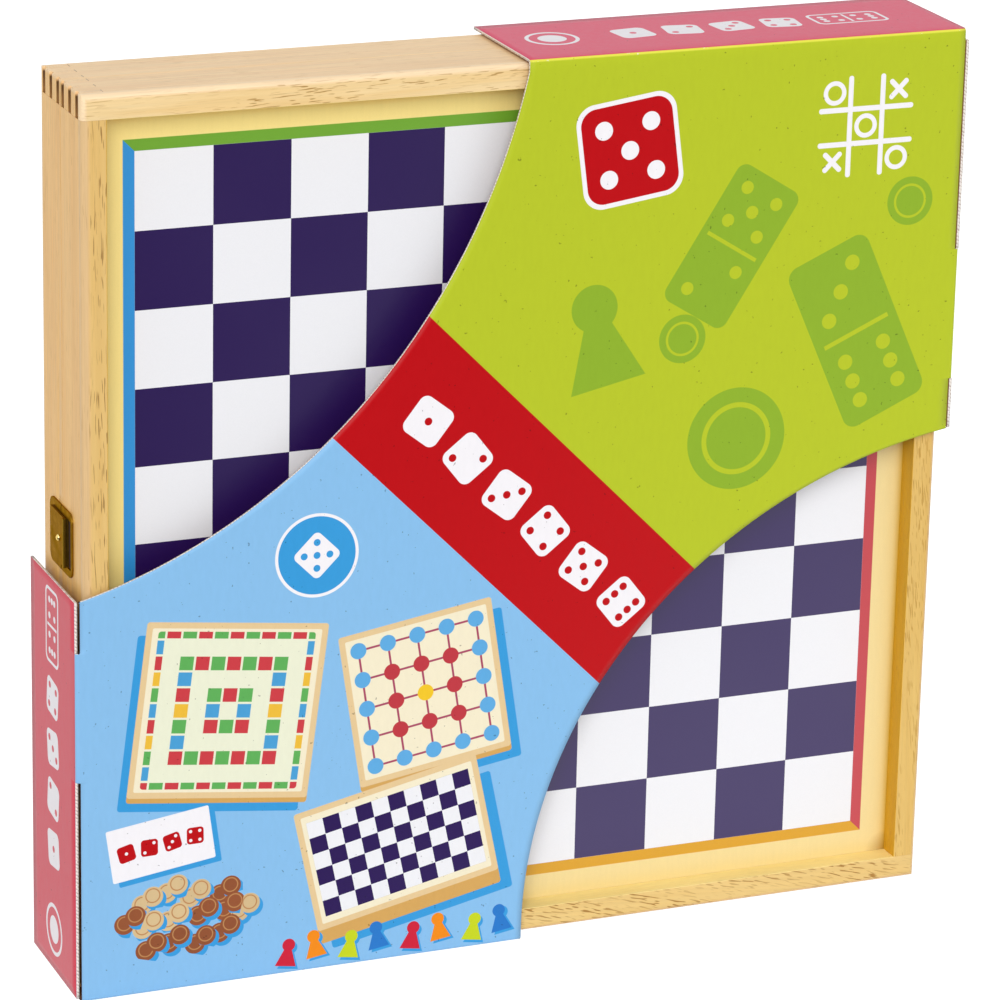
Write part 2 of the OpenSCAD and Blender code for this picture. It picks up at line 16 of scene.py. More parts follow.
import bmesh
import bpy
import numpy as np
from mathutils import Matrix, Vector

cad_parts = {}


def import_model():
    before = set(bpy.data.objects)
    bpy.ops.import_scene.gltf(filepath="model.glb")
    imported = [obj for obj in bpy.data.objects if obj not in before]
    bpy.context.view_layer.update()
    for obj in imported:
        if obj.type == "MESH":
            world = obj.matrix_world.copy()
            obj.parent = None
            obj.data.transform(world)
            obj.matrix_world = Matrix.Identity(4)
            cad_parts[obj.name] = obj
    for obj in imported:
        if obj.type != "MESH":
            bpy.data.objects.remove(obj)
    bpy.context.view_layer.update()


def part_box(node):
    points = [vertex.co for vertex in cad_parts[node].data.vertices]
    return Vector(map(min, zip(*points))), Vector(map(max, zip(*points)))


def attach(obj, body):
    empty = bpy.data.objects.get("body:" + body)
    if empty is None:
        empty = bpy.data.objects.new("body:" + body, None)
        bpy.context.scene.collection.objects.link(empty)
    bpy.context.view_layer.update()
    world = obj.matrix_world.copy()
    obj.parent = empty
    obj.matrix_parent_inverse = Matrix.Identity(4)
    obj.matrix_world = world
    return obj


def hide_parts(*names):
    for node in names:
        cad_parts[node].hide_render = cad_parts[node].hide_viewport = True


LOG = logging.getLogger("games_box")
MM = 0.001
INK_EDGE = 0.14
FLUTE_PITCH = 2.2
SHARP = math.radians(35)
WHITE = (1.0, 1.0, 1.0, 1.0)

Colour = tuple[float, float, float, float]


def srgb(red: int, green: int, blue: int) -> Colour:
    """Turns a colour as it looks on a screen into the linear colour that a shader takes.

    Args:
        red: Red, from 0 to 255.
        green: Green, from 0 to 255.
        blue: Blue, from 0 to 255.

    Returns:
        The linear colour with an alpha of 1.
    """

    def linear(value: int) -> float:
        """Linear value of one channel."""
        share = value / 255
        return share / 12.92 if share <= 0.04045 else ((share + 0.055) / 1.055) ** 2.4

    return (linear(red), linear(green), linear(blue), 1.0)


# ---- Shader maths --------------------------------------------------------------------------


class Signal:
    """One output socket of a node tree, on which Python's operators add Math nodes."""

    def __init__(self, nodes: "Nodes", socket: bpy.types.NodeSocket) -> None:
        """Keeps the socket and the tree that it belongs to."""
        self.nodes = nodes
        self.socket = socket

    def math(self, operation: str, *others: "Value", clamp: bool = False) -> "Signal":
        """Adds one Math node whose first value is this signal.

        Args:
            operation: Name of the Math node's operation.
            others: Second and third value, where the operation has them.
            clamp: Whether the result is kept between 0 and 1.

        Returns:
            The node's result.
        """
        settings = {"operation": operation, "use_clamp": clamp}
        return self.nodes.add("ShaderNodeMath", settings, dict(enumerate((self, *others))))

    def __add__(self, other: "Value") -> "Signal":
        """Sum."""
        return self.math("ADD", other)

    __radd__ = __add__

    def __sub__(self, other: "Value") -> "Signal":
        """Difference."""
        return self.math("SUBTRACT", other)

    def __rsub__(self, other: "Value") -> "Signal":
        """Difference with this signal taken from a number."""
        return self.math("MULTIPLY_ADD", -1.0, other)

    def __mul__(self, other: "Value") -> "Signal":
        """Product."""
        return self.math("MULTIPLY", other)

    def __truediv__(self, other: "Value") -> "Signal":
        """Quotient."""
        return self.math("DIVIDE", other)

    def __neg__(self) -> "Signal":
        """Opposite."""
        return self.math("MULTIPLY", -1.0)

    def __abs__(self) -> "Signal":
        """Absolute value."""
        return self.math("ABSOLUTE")

    def floor(self) -> "Signal":
        """Whole number below."""
        return self.math("FLOOR")

    def wrap(self, size: float) -> "Signal":
        """Rest after division by size, from 0 to size."""
        return self.math("FLOORED_MODULO", size)

    def largest(self, other: "Value") -> "Signal":
        """Larger of the two."""
        return self.math("MAXIMUM", other)

    def smallest(self, other: "Value") -> "Signal":
        """Smaller of the two."""
        return self.math("MINIMUM", other)

    def above(self, level: "Value", soft: float = 0.0) -> "Signal":
        """Mask of where the signal is above a level, with an edge that is soft wide."""
        if soft == 0.0:
            return self.math("GREATER_THAN", level)
        return (self - level).math("MULTIPLY_ADD", 1 / soft, 0.5, clamp=True)

    def below(self, level: "Value", soft: float = 0.0) -> "Signal":
        """Mask of where the signal is below a level, with an edge that is soft wide."""
        if soft == 0.0:
            return self.math("LESS_THAN", level)
        return (self - level).math("MULTIPLY_ADD", -1 / soft, 0.5, clamp=True)

    def ripple(self, pitch: float) -> "Signal":
        """Square of the distance from the middle of each stretch, all as long as the pitch."""
        away = self.wrap(pitch) - pitch / 2
        return away * away

    def inked(self) -> "Signal":
        """Mask of where a distance is below 0, with the edge that printed ink has."""
        return self.math("MULTIPLY_ADD", -1 / INK_EDGE, 0.5, clamp=True)


Value = Union[Signal, float, int]
Input = Union[Signal, float, int, Sequence[float]]


class Nodes:
    """The node tree of one material or world, and the one way in which nodes are added."""

    def __init__(self, name: str, world: bool = False) -> None:
        """Makes an empty material, or an empty world, with that name."""
        self.owner = (bpy.data.worlds if world else bpy.data.materials).new(name)
        self.owner.use_nodes = True
        self.tree = self.owner.node_tree
        self.tree.nodes.clear()

    def node(
        self,
        kind: str,
        settings: Mapping[str, object] | None = None,
        sockets: Mapping[Union[int, str], Input] | None = None,
    ) -> bpy.types.Node:
        """Adds one node.

        Args:
            kind: The node's type name.
            settings: Properties of the node, which are set first.
            sockets: Inputs by index or name, each a signal to link or a value to set.

        Returns:
            The node.
        """
        node = self.tree.nodes.new(kind)
        for name, value in (settings or {}).items():
            setattr(node, name, value)
        for name, value in (sockets or {}).items():
            if isinstance(value, Signal):
                self.tree.links.new(value.socket, node.inputs[name])
            else:
                node.inputs[name].default_value = value
        return node

    def add(
        self,
        kind: str,
        settings: Mapping[str, object] | None = None,
        sockets: Mapping[Union[int, str], Input] | None = None,
        out: Union[int, str] = 0,
    ) -> Signal:
        """Adds one node, as node() does, and gives the output of that index or name."""
        return Signal(self, self.node(kind, settings, sockets).outputs[out])

    def place(self) -> tuple[Signal, Signal, Signal]:
        """X, Y and Z of the point on the piece, in millimetres."""
        return self.split(self.scaled(self.add("ShaderNodeTexCoord", out="Object"), 1 / MM))

    def split(self, vector: Signal) -> tuple[Signal, Signal, Signal]:
        """The three parts of a vector."""
        parts = self.node("ShaderNodeSeparateXYZ", None, {0: vector}).outputs
        return tuple(Signal(self, part) for part in parts)

    def join(self, x: Value, y: Value, z: Value) -> Signal:
        """A vector of three values."""
        return self.add("ShaderNodeCombineXYZ", None, {0: x, 1: y, 2: z})

    def scaled(self, vector: Signal, factor: float) -> Signal:
        """A vector times a number."""
        settings = {"operation": "SCALE"}
        return self.add("ShaderNodeVectorMath", settings, {"Vector": vector, "Scale": factor})

    def length(self, x: Value, y: Value) -> Signal:
        """Length of a vector of two values."""
        sockets = {0: self.join(x, y, 0.0)}
        return self.add("ShaderNodeVectorMath", {"operation": "LENGTH"}, sockets, "Value")

    def mix(self, share: Value, first: Input, second: Input) -> Signal:
        """The first colour where share is 0, the second where it is 1."""
        settings = {"data_type": "RGBA", "blend_type": "MIX"}
        return self.add("ShaderNodeMix", settings, {0: share, 6: first, 7: second}, 2)

    def layered(self, colour: Input, *coats: tuple[Value, Input]) -> Signal:
        """A colour with coats laid over it in turn, each a mask and its ink."""
        for mask, ink in coats:
            colour = self.mix(mask, colour, ink)
        return colour

    def palette(self, step: Signal, inks: Sequence[Colour]) -> Signal:
        """The ink whose number is the whole number nearest to step."""
        coats = ((step.above(number + 0.5), ink) for number, ink in enumerate(inks[1:]))
        return self.layered(inks[0], *coats)

    def rays(self, *kinds: str) -> Signal:
        """1 for rays of the named kinds, such as Camera or Glossy."""
        outputs = self.node("ShaderNodeLightPath").outputs
        return united(Signal(self, outputs[f"Is {kind} Ray"]) for kind in kinds)

    def shaded(self, colour: Input, value: Value) -> Signal:
        """A colour made darker or lighter by a factor that varies."""
        grey = self.add("ShaderNodeCombineColor", None, {0: value, 1: value, 2: value})
        settings = {"data_type": "RGBA", "blend_type": "MULTIPLY"}
        return self.add("ShaderNodeMix", settings, {0: 1.0, 6: colour, 7: grey}, 2)

    def noise(
        self, vector: Signal, scale: float = 1.0, detail: float = 2.0, rough: float = 0.5
    ) -> Signal:
        """Smooth noise from 0 to 1 over a vector."""
        sockets = {"Vector": vector, "Scale": scale, "Detail": detail, "Roughness": rough}
        return self.add("ShaderNodeTexNoise", {"noise_dimensions": "3D"}, sockets)

    def surface(
        self,
        colour: Input,
        roughness: Value,
        height: Signal | None = None,
        depth_mm: float = 0.05,
        constants: Mapping[str, Input] | None = None,
    ) -> bpy.types.Material:
        """Ends the tree with a Principled surface.

        Args:
            colour: Base colour.
            roughness: Roughness.
            height: Relief from 0 to 1, or None for a smooth surface.
            depth_mm: Depth of the relief in millimetres.
            constants: Other sockets of the surface, each with a value.

        Returns:
            The finished material.
        """
        sockets: dict[Union[int, str], Input] = {"Base Color": colour, "Roughness": roughness}
        sockets.update(constants or {})
        if height is not None:
            relief = {"Height": height, "Distance": depth_mm * MM, "Strength": 1.0}
            sockets["Normal"] = self.add("ShaderNodeBump", None, relief)
        self.add_output(self.add("ShaderNodeBsdfPrincipled", None, sockets))
        return self.owner

    def add_output(self, shader: Signal) -> None:
        """Links a shader to the tree's output."""
        kind = "World" if isinstance(self.owner, bpy.types.World) else "Material"
        self.node("ShaderNodeOutput" + kind, None, {"Surface": shader})


@dataclass(frozen=True)
class Plane:
    """A flat drawing surface: two signals in millimetres, u to the right and v up."""

    nodes: Nodes
    u: Signal
    v: Signal

    def moved(self, u: float, v: float, tilt: float = 0.0) -> "Plane":
        """The plane seen from another origin, turned by tilt degrees anticlockwise."""
        du, dv = self.u - u, self.v - v
        if tilt == 0.0:
            return Plane(self.nodes, du, dv)
        c, s = math.cos(math.radians(tilt)), math.sin(math.radians(tilt))
        return Plane(self.nodes, du * c + dv * s, dv * c - du * s)

    def mirrored(self) -> "Plane":
        """The plane folded onto its upper right quarter."""
        return Plane(self.nodes, abs(self.u), abs(self.v))

    def tiled(self, pitch: float) -> "Plane":
        """The plane cut into square cells, each with its origin at its middle."""
        half = pitch / 2
        return Plane(self.nodes, self.u.wrap(pitch) - half, self.v.wrap(pitch) - half)

    def leaned(self, tilt: float, side: Signal) -> "Plane":
        """The plane turned by tilt degrees, anticlockwise where side is 1, back where it is -1."""
        c, s = math.cos(math.radians(tilt)), math.sin(math.radians(tilt))
        return Plane(self.nodes, self.u * c + self.v * side * s, self.v * c - self.u * side * s)

    def scattered(self, pitch: float, jitter: float) -> tuple["Plane", "Plane", Signal]:
        """The plane cut into cells round points that are strewn over it.

        Args:
            pitch: Mean distance of the points.
            jitter: How far the points leave an even lattice, from 0 to 1.

        Returns:
            The plane with each cell's point as its origin, the plane of the points
            themselves, and a chance value of each cell.
        """
        sockets = {"Vector": self.nodes.join(self.u * (1 / pitch), self.v * (1 / pitch), 0.0)}
        sockets.update({"Scale": 1.0, "Randomness": jitter})
        settings = {"voronoi_dimensions": "2D"}
        outputs = self.nodes.node("ShaderNodeTexVoronoi", settings, sockets).outputs
        u, v, _ = self.nodes.split(Signal(self.nodes, outputs["Position"]))
        u, v = u * pitch, v * pitch
        chance, _, _ = self.nodes.split(Signal(self.nodes, outputs["Color"]))
        return Plane(self.nodes, self.u - u, self.v - v), Plane(self.nodes, u, v), chance

    def square(self) -> Signal:
        """Distance from the origin, measured as for a square."""
        return abs(self.u).largest(abs(self.v))

    def disc(self, radius: float) -> Signal:
        """Mask of a disc."""
        return (self.nodes.length(self.u, self.v) - radius).inked()

    def ring(self, radius: float, width: float) -> Signal:
        """Mask of a ring whose middle line has that radius."""
        return (abs(self.nodes.length(self.u, self.v) - radius) - width / 2).inked()

    def tile(self, width: float, height: float, corner: float = 0.0) -> Signal:
        """Mask of a rectangle with rounded corners."""
        du = abs(self.u) - (width / 2 - corner)
        dv = abs(self.v) - (height / 2 - corner)
        if corner == 0.0:
            return du.largest(dv).inked()
        outside = self.nodes.length(du.largest(0.0), dv.largest(0.0))
        return (outside + du.largest(dv).smallest(0.0) - corner).inked()

    def cone(self, half_foot: float, half_top: float, height: float) -> Signal:
        """Mask of an upright trapezium that stands on v = 0."""
        slope = (half_foot - half_top) / height
        side = abs(self.u) + self.v * slope - half_foot
        return side.largest(-self.v).largest(self.v - height).inked()

    def pips(self, number: int, spread: float, radius: float) -> Signal:
        """Mask of the pips of one face of a die."""
        corner = self.mirrored().moved(spread, spread)
        masks: list[Signal] = []
        if number % 2:
            masks.append(self.disc(radius))
        if number in (2, 3):
            masks.append(self.moved(spread, spread).disc(radius))
            masks.append(self.moved(-spread, -spread).disc(radius))
        if number > 3:
            masks.append(corner.disc(radius))
        if number == 6:
            masks.append(self.mirrored().moved(spread, 0.0).disc(radius))
        return united(masks)

    def pawn(self, height: float) -> Signal:
        """Mask of a pawn that stands on the origin: a cone with a round head."""
        body = self.cone(height * 0.38, height * 0.1, height * 0.7)
        return body.largest(self.moved(0.0, height * 0.77).disc(height * 0.23))

    def dice_row(self, pitch: float, size: float, first: int, count: int) -> tuple[Signal, Signal]:
        """Faces of dice side by side along u, each leaning the other way than the last.

        Args:
            pitch: Distance of the dice.
            size: Width of one face.
            first: Number of cells from the origin to the first die.
            count: Number of dice; the pips count up from 1.

        Returns:
            The mask of the faces and the mask of their pips.
        """
        index = (self.u / pitch).floor()
        number = (index - first).wrap(6.0) + 1
        odd = number.wrap(2.0)
        cell = Plane(self.nodes, self.u.wrap(pitch) - pitch / 2, self.v).leaned(7.0, odd * 2 - 1)
        within = index.above(first - 0.5) * index.below(first + count - 0.5)
        spread, radius = size * 0.27, size * 0.095
        signs = ((1, 1), (-1, -1), (-1, 1), (1, -1))
        spots = [cell.moved(u * spread, v * spread).disc(radius) for u, v in signs]
        pips = united((
            cell.disc(radius) * odd,
            spots[0].largest(spots[1]) * number.above(1.5),
            spots[2].largest(spots[3]) * number.above(3.5),
            cell.mirrored().moved(spread, 0.0).disc(radius) * number.above(5.5),
        ))
        return cell.tile(size, size, size * 0.2) * within, pips * within


def united(masks: Iterable[Signal]) -> Signal:
    """The union of several masks."""
    whole, *rest = list(masks)
    for mask in rest:
        whole = whole.largest(mask)
    return whole


# ---- Finishes ------------------------------------------------------------------------------


class Grain(Enum):
    """Direction in which a piece of wood was sawn."""

    ACROSS = "x"
    UPRIGHT = "z"


@dataclass(frozen=True)
class WoodTone:
    """Lighter and darker tone of one kind of face of a rail."""

    ground: Colour
    band: Colour

    def colour(self, n: Nodes, share: Signal) -> Signal:
        """The tone with that share of the darker one."""
        return n.mix(share, self.ground, self.band)


@dataclass(frozen=True)
class Beech:
    """Lacquered beech rail of a square frame, sawn along X or Z.

    The tone follows the face. The outer faces of the frame are finely streaked and have few
    pores, the broad faces have short dark pores, and the ends and the crown have tones of their
    own. The recess tone is painted shade on the side rails' inner walls and a pale painted lift
    of light against the shade on the level rails' ledges; the rim tone is a painted sheen on the
    rounded front edges. The comb joint has painted shade inside its slots, darkest just below
    their light tips.
    """

    name: str
    grain: Grain
    middle: float
    half: float
    thickness: float
    outer: WoodTone
    broad: WoodTone
    # painted light: shade on the side rails' inner walls, a lift of light on the level rails' ledges
    recess: WoodTone
    ends: WoodTone
    crown: WoodTone
    # painted sheen on the rounded front edges of the outer faces
    rim: Colour
    corner: float = 0.9
    recess_from: float = 13.2
    rim_from: float = 18.6
    last_slot: float = 18.6
    slot_wall: float = 0.95
    slot_top: float = 1.2
    pore: Colour = srgb(140, 98, 38)
    slant: float = 0.0
    pores: float = 0.5
    pore_length: float = 4.2
    pore_width: float = 0.36
    recess_pores: float = 0.5
    seed: float = 0.0

    def material(self) -> bpy.types.Material:
        """Builds the finish."""
        n = Nodes(self.name)
        x, y, z = n.place()
        up = z - self.middle
        reach = abs(x).largest(abs(up))
        outer = reach.above(self.half - self.corner, 1.2)
        inside = reach.below(self.half - self.thickness + 0.15, 0.1)
        recess = inside * abs(y).above(self.recess_from)
        upright = self.grain is Grain.UPRIGHT
        run, side = (z, x) if upright else (x, z)
        end = abs(x).above(self.half - 0.35, 0.1)
        if not upright:
            run, side = run + end * (z - x), side + end * (x - z)
        lines, bands = self.growth(n, run, side, y)
        dash = self.dashes(n, run, side, y)
        dash = dash * (1 - outer * 0.76) * (1 - recess * (1 - self.recess_pores))
        share = bands * 0.6
        crown = up.above(self.half - 0.7, 0.8)
        colour = n.layered(
            self.broad.colour(n, share),
            (outer, self.outer.colour(n, share)),
            (end, self.ends.colour(n, share)),
            (crown, self.crown.colour(n, share)),
            # painted sheen on the rounded front edges
            (outer * abs(y).above(self.rim_from, 0.8) * 0.85, self.rim),
            # painted shade on the recess walls, painted lift of light on the ledges
            (recess, self.recess.colour(n, share)),
        )
        colour = n.shaded(colour, lines * (outer * 0.16 + 0.22) + (0.89 - outer * 0.08))
        colour = n.mix(dash * 0.8, colour, self.pore)
        colour = self.painted_slot_shade(n, n.join(x, y, z), colour)
        if upright:
            seam = crown * abs(x).below(self.half - self.thickness + 0.4, 0.2)
            colour = n.mix(seam * 0.6, colour, srgb(126, 84, 52))
        height = lines * 0.35 + (1 - dash) * 0.65
        roughness = lines * 0.12 + dash * 0.2 + 0.34
        return n.surface(colour, roughness, height, 0.05, {"Specular IOR Level": 0.4})

    def growth(self, n: Nodes, run: Signal, side: Signal, y: Signal) -> tuple[Signal, Signal]:
        """Fine lines and broad bands along the grain."""
        side = side + run * math.tan(math.radians(self.slant * 0.3))
        fibre = n.join(run * 0.016 + self.seed, side * 0.24, y * 0.24)
        bands = n.noise(fibre, 1.0, 3.0, 0.55).above(0.5, 0.5)
        lines = n.noise(n.join(run * 0.022 + self.seed, side * 1.5, y * 1.5), 1.0, 3.0, 0.65)
        return lines, bands

    def dashes(self, n: Nodes, run: Signal, side: Signal, y: Signal) -> Signal:
        """Short pores along the grain, thicker in some patches."""
        side = side + run * math.tan(math.radians(self.slant))
        across = 1 / self.pore_width
        place = n.join(run * (1 / self.pore_length) + self.seed, side * across, y * across)
        level = 0.73 - 0.1 * self.pores
        dash = n.noise(place, 1.0, 0.0, 0.4).above(level, 0.06)
        patch = n.noise(n.join(run * 0.025, side * 0.16, y * 0.16 + self.seed)).above(0.47, 0.16)
        return dash * (patch * 0.85 + 0.15)

    def painted_slot_shade(self, n: Nodes, place: Signal, colour: Signal) -> Signal:
        """Darkens the walls and floors of the comb's slots with painted shade, most just below their
        light tips.
        """
        x, y, z = n.split(place)
        across, up = abs(x), abs(z - self.middle)
        wall = across.above(self.half - self.slot_wall, 0.05) * across.below(self.half - 0.04)
        wall = wall * abs(y).below(self.last_slot)
        # Painted shade in the slots: a muted tone at their mouths, dark brown below, darkest just
        # below the tips.
        mouth = up.above(self.half - self.slot_top, 0.7)
        tip = wall * mouth * up.below(self.half - 0.75, 0.2)
        colour = n.mix(tip * 0.7, colour, srgb(220, 176, 128))
        slot = wall * up.above(self.half - self.thickness) * (1 - mouth)
        depth = up.above(self.half - 4.0, 9.0)
        cloud = n.noise(place, 0.5, 2.0, 0.6)
        floor = n.mix(depth, srgb(176, 130, 78), srgb(70, 38, 18))
        return n.mix(slot, colour, n.shaded(floor, cloud * 0.7 + 0.6))


@dataclass(frozen=True)
class Brass:
    """Rolled brass with a thin tarnish, fine scratches and darker spots."""

    name: str
    bright: Colour = srgb(214, 176, 92)
    dull: Colour = srgb(158, 118, 44)
    roughness: float = 0.3
    edge: Colour = srgb(240, 214, 160)

    def material(self) -> bpy.types.Material:
        """Builds the finish."""
        n = Nodes(self.name)
        x, y, z = n.place()
        cloud = n.noise(n.join(x, y, z), 0.35, 3.0, 0.6)
        scratch = n.noise(n.join(x * 0.6, y * 9.0, z * 0.7), 1.0, 2.0, 0.7)
        spot = n.noise(n.join(x, y, z), 2.2, 1.0, 0.4).above(0.7, 0.1)
        colour = n.mix(cloud.above(0.5, 0.4), self.bright, self.dull)
        colour = n.shaded(colour, 1 - spot * 0.35)
        roughness = cloud * 0.2 + scratch * 0.14 + (self.roughness - 0.12)
        constants = {"Metallic": 1.0, "Specular Tint": self.edge}
        return n.surface(colour, roughness, scratch, 0.012, constants)


@dataclass(frozen=True)
class PaintedWood:
    """Small turned or sawn piece of painted wood, with faint grain under the paint."""

    name: str
    colour: Colour
    gloss: float = 0.34

    def material(self) -> bpy.types.Material:
        """Builds the finish."""
        n = Nodes(self.name)
        x, y, z = n.place()
        grain = n.noise(n.join(x * 1.6, y * 1.6, z * 0.2), 1.0, 3.0, 0.6)
        # pale flecks where the paint is worn through
        flecks = n.noise(n.join(x, y, z), 0.9, 4.0, 0.7).above(0.74, 0.06)
        colour = n.shaded(self.colour, grain * 0.22 + 0.9)
        colour = n.mix(flecks * 0.3, colour, srgb(226, 196, 150))
        roughness = grain * 0.14 + (self.gloss - 0.05)
        return n.surface(colour, roughness, grain, 0.06)


@dataclass(frozen=True)
class TurnedWood:
    """Lacquered or stained wood of a draughtsman, seen on its face."""

    name: str
    ground: Colour
    dark: Colour

    def material(self) -> bpy.types.Material:
        """Builds the finish."""
        n = Nodes(self.name)
        x, y, z = n.place()
        fibre = n.noise(n.join(x * 0.5, y * 1.4, z * 2.4), 1.0, 3.0, 0.6)
        dash = n.noise(n.join(x * 0.5, y * 3.0, z * 3.4), 1.0, 1.0, 0.4).above(0.68, 0.05)
        colour = n.mix(fibre.above(0.5, 0.5), self.ground, self.dark)
        colour = n.mix(dash * 0.6, colour, self.dark)
        return n.surface(colour, fibre * 0.15 + 0.3, 1 - dash, 0.05)


@dataclass(frozen=True)
class DiceResin:
    """Red dice: rounded resin with white pips, placed by the piece's own attribute."""

    name: str
    attribute: str
    half: float
    body: Colour = srgb(190, 22, 34)
    pip: Colour = srgb(246, 244, 238)
    spread: float = 3.4
    radius: float = 1.25

    def material(self) -> bpy.types.Material:
        """Builds the finish."""
        n = Nodes(self.name)
        where = n.add("ShaderNodeAttribute", {"attribute_name": self.attribute}, out="Vector")
        a, b, c = n.split(where)
        faces = ((a, b, c, 1), (a, b, -c, 6), (b, c, a, 2), (b, c, -a, 5), (c, a, b, 3), (c, a, -b, 4))
        reach = self.half - 0.35
        masks = [
            Plane(n, u, v).pips(number, self.spread, self.radius) * out.above(reach)
            for u, v, out, number in faces
        ]
        pips = united(masks)
        colour = n.mix(pips, self.body, self.pip)
        return n.surface(colour, pips * 0.2 + 0.16, 1 - pips, 0.25, {"Coat Weight": 0.5})


@dataclass(frozen=True)
class Kraft:
    """Unprinted brown side of the card."""

    name: str
    ground: Colour = srgb(168, 120, 78)
    dark: Colour = srgb(132, 88, 54)

    def material(self) -> bpy.types.Material:
        """Builds the finish."""
        n = Nodes(self.name)
        x, y, z = n.place()
        fibres = n.noise(n.join(x, y, z), 1.8, 4.0, 0.7)
        colour = n.mix(fibres.above(0.5, 0.4) * 0.6, self.ground, self.dark)
        height = fibres * 0.5 + x.ripple(FLUTE_PITCH) * 0.4
        return n.surface(colour, 0.85, height, 0.08, {"Specular IOR Level": 0.2})


@dataclass(frozen=True)
class CutEdge:
    """Cut edge of the card: white liners with brown fluting, and shade inside a corner slit."""

    name: str
    half_width: float
    paper: Colour = srgb(246, 238, 230)
    flute: Colour = srgb(132, 88, 60)

    def material(self) -> bpy.types.Material:
        """Builds the finish."""
        n = Nodes(self.name)
        x, y, z = n.place()
        fibres = n.noise(n.join(x * 1.4, y * 1.4, z * 1.4), 1.0, 3.0, 0.7)
        wave = (x * 0.7 + z + fibres * 1.6).wrap(1.2)
        gaps = wave.below(0.45, 0.4) * fibres.above(0.46, 0.2)
        colour = n.mix(gaps * 0.6, self.paper, self.flute)
        slit = abs(x).below(self.half_width - 1.0, 0.1) * abs(x).above(self.half_width - 1.75)
        colour = n.mix(slit, colour, srgb(66, 34, 26))
        return n.surface(colour, 0.8, fibres, 0.06, {"Specular IOR Level": 0.2})


# ---- Prints --------------------------------------------------------------------------------

CREAM = srgb(250, 226, 142)
CREAM_FAR = srgb(240, 217, 152)
INK_WHITE = srgb(241, 241, 245)
INK_INDIGO = srgb(36, 8, 80)
INK_GREEN = srgb(112, 168, 46)
INK_BLUE = srgb(46, 146, 216)
INK_RED = srgb(191, 56, 66)
INK_ORANGE = srgb(216, 157, 0)
INK_YELLOW = srgb(244, 200, 40)


@dataclass(frozen=True)
class DraughtsPrint:
    """Ten by ten draughts board with a mitred border in four colours on a cream margin."""

    centre: tuple[float, float]
    square: float = 25.0
    count: int = 10
    border: float = 3.7
    inner_half: float = 137.0

    def colour(self, plane: Plane) -> Signal:
        """Colour of the print on a plane whose origin is the middle of the box.

        Args:
            plane: The drawing surface.

        Returns:
            The colour.
        """
        n = plane.nodes
        board = plane.moved(*self.centre)
        u, v = board.u, board.v
        light = ((u / self.square).floor() + (v / self.square).floor()).wrap(2.0)
        upright = (abs(u) - abs(v)).above(0.0)
        sides = n.mix(u.above(0.0), INK_BLUE, INK_RED)
        ends = n.mix(v.above(0.0), INK_ORANGE, INK_GREEN)
        reach = board.square() - self.square * self.count / 2
        return n.layered(
            self.margin(plane),
            ((reach - self.border).inked(), n.mix(upright, ends, sides)),
            (reach.inked(), n.mix(light, INK_INDIGO, INK_WHITE)),
        )

    def margin(self, plane: Plane) -> Signal:
        """Cream margin with painted light: gold shade at the right and top rails, a lighter tone
        against the shadow at the left, dark shade in a nook.
        """
        n = plane.nodes
        fibre = n.noise(n.join(plane.u * 0.9, plane.v * 0.08, 0.0), 1.0, 2.0, 0.6)
        far = (plane.u - plane.v).above(0.0, 160.0)
        colour = n.shaded(n.mix(far, CREAM, CREAM_FAR), fibre * 0.06 + 0.97)
        left, right = self.inner_half + plane.u, self.inner_half - plane.u
        # Painted light by the rails: gold shade under the top and right rails, a lighter tone against
        # the left rail's shadow, dark shade in the bottom right nook.
        near_right = right.below(1.6, 3.6)
        near_top = (self.inner_half - plane.v).below(1.2, 5.0)
        nook = n.length(right, self.inner_half + plane.v).below(3.0, 8.0)
        patch = n.noise(n.join(plane.u * 0.03, 0.0, 4.0), 1.0, 1.0, 0.5).above(0.48, 0.3)
        return n.layered(
            colour,
            (near_top * (patch * 0.5 + 0.4), srgb(250, 186, 36)),
            (near_right * near_right, srgb(198, 156, 24)),
            (left.below(3.0, 6.0) * 0.7, srgb(255, 236, 152)),
            (nook * 0.8, srgb(150, 106, 20)),
        )


@dataclass(frozen=True)
class TrackPrint:
    """Stepping-track board: rings of plain coloured cells round a target of circles."""

    cell: float = 17.0
    rings: int = 7

    def colour(self, plane: Plane) -> Signal:
        """Colour of the print on a plane whose origin is the middle of the box."""
        n = plane.nodes
        centred = plane.moved(-self.cell / 2, -self.cell / 2)
        column, row = (centred.u / self.cell).floor(), (centred.v / self.cell).floor()
        cell = centred.tiled(self.cell)
        step = (column + row * 2.0).wrap(5.0)
        inks = (srgb(150, 200, 80), srgb(246, 214, 90), srgb(110, 186, 226), srgb(226, 110, 96),
                srgb(236, 236, 228))
        lane = abs(column).largest(abs(row)).wrap(2.0).below(0.5)
        width = self.cell - 1.2
        target = ((20.0, INK_WHITE), (15.0, INK_GREEN), (9.0, INK_YELLOW), (4.0, INK_RED))
        colour = n.layered(
            n.palette(step, inks),
            (cell.disc(4.6) * step.above(3.5), srgb(240, 170, 60)),
            (lane, srgb(228, 236, 214)),
            (1 - cell.tile(width, width, 2.0), srgb(250, 250, 246)),
            (plane.tile(self.cell * 3, self.cell * 3, 6.0), srgb(146, 205, 236)),
            *((plane.disc(radius), ink) for radius, ink in target),
        )
        side = self.cell * self.rings * 2 + 3.0
        return n.mix(plane.tile(side, side, 8.0), CREAM, colour)


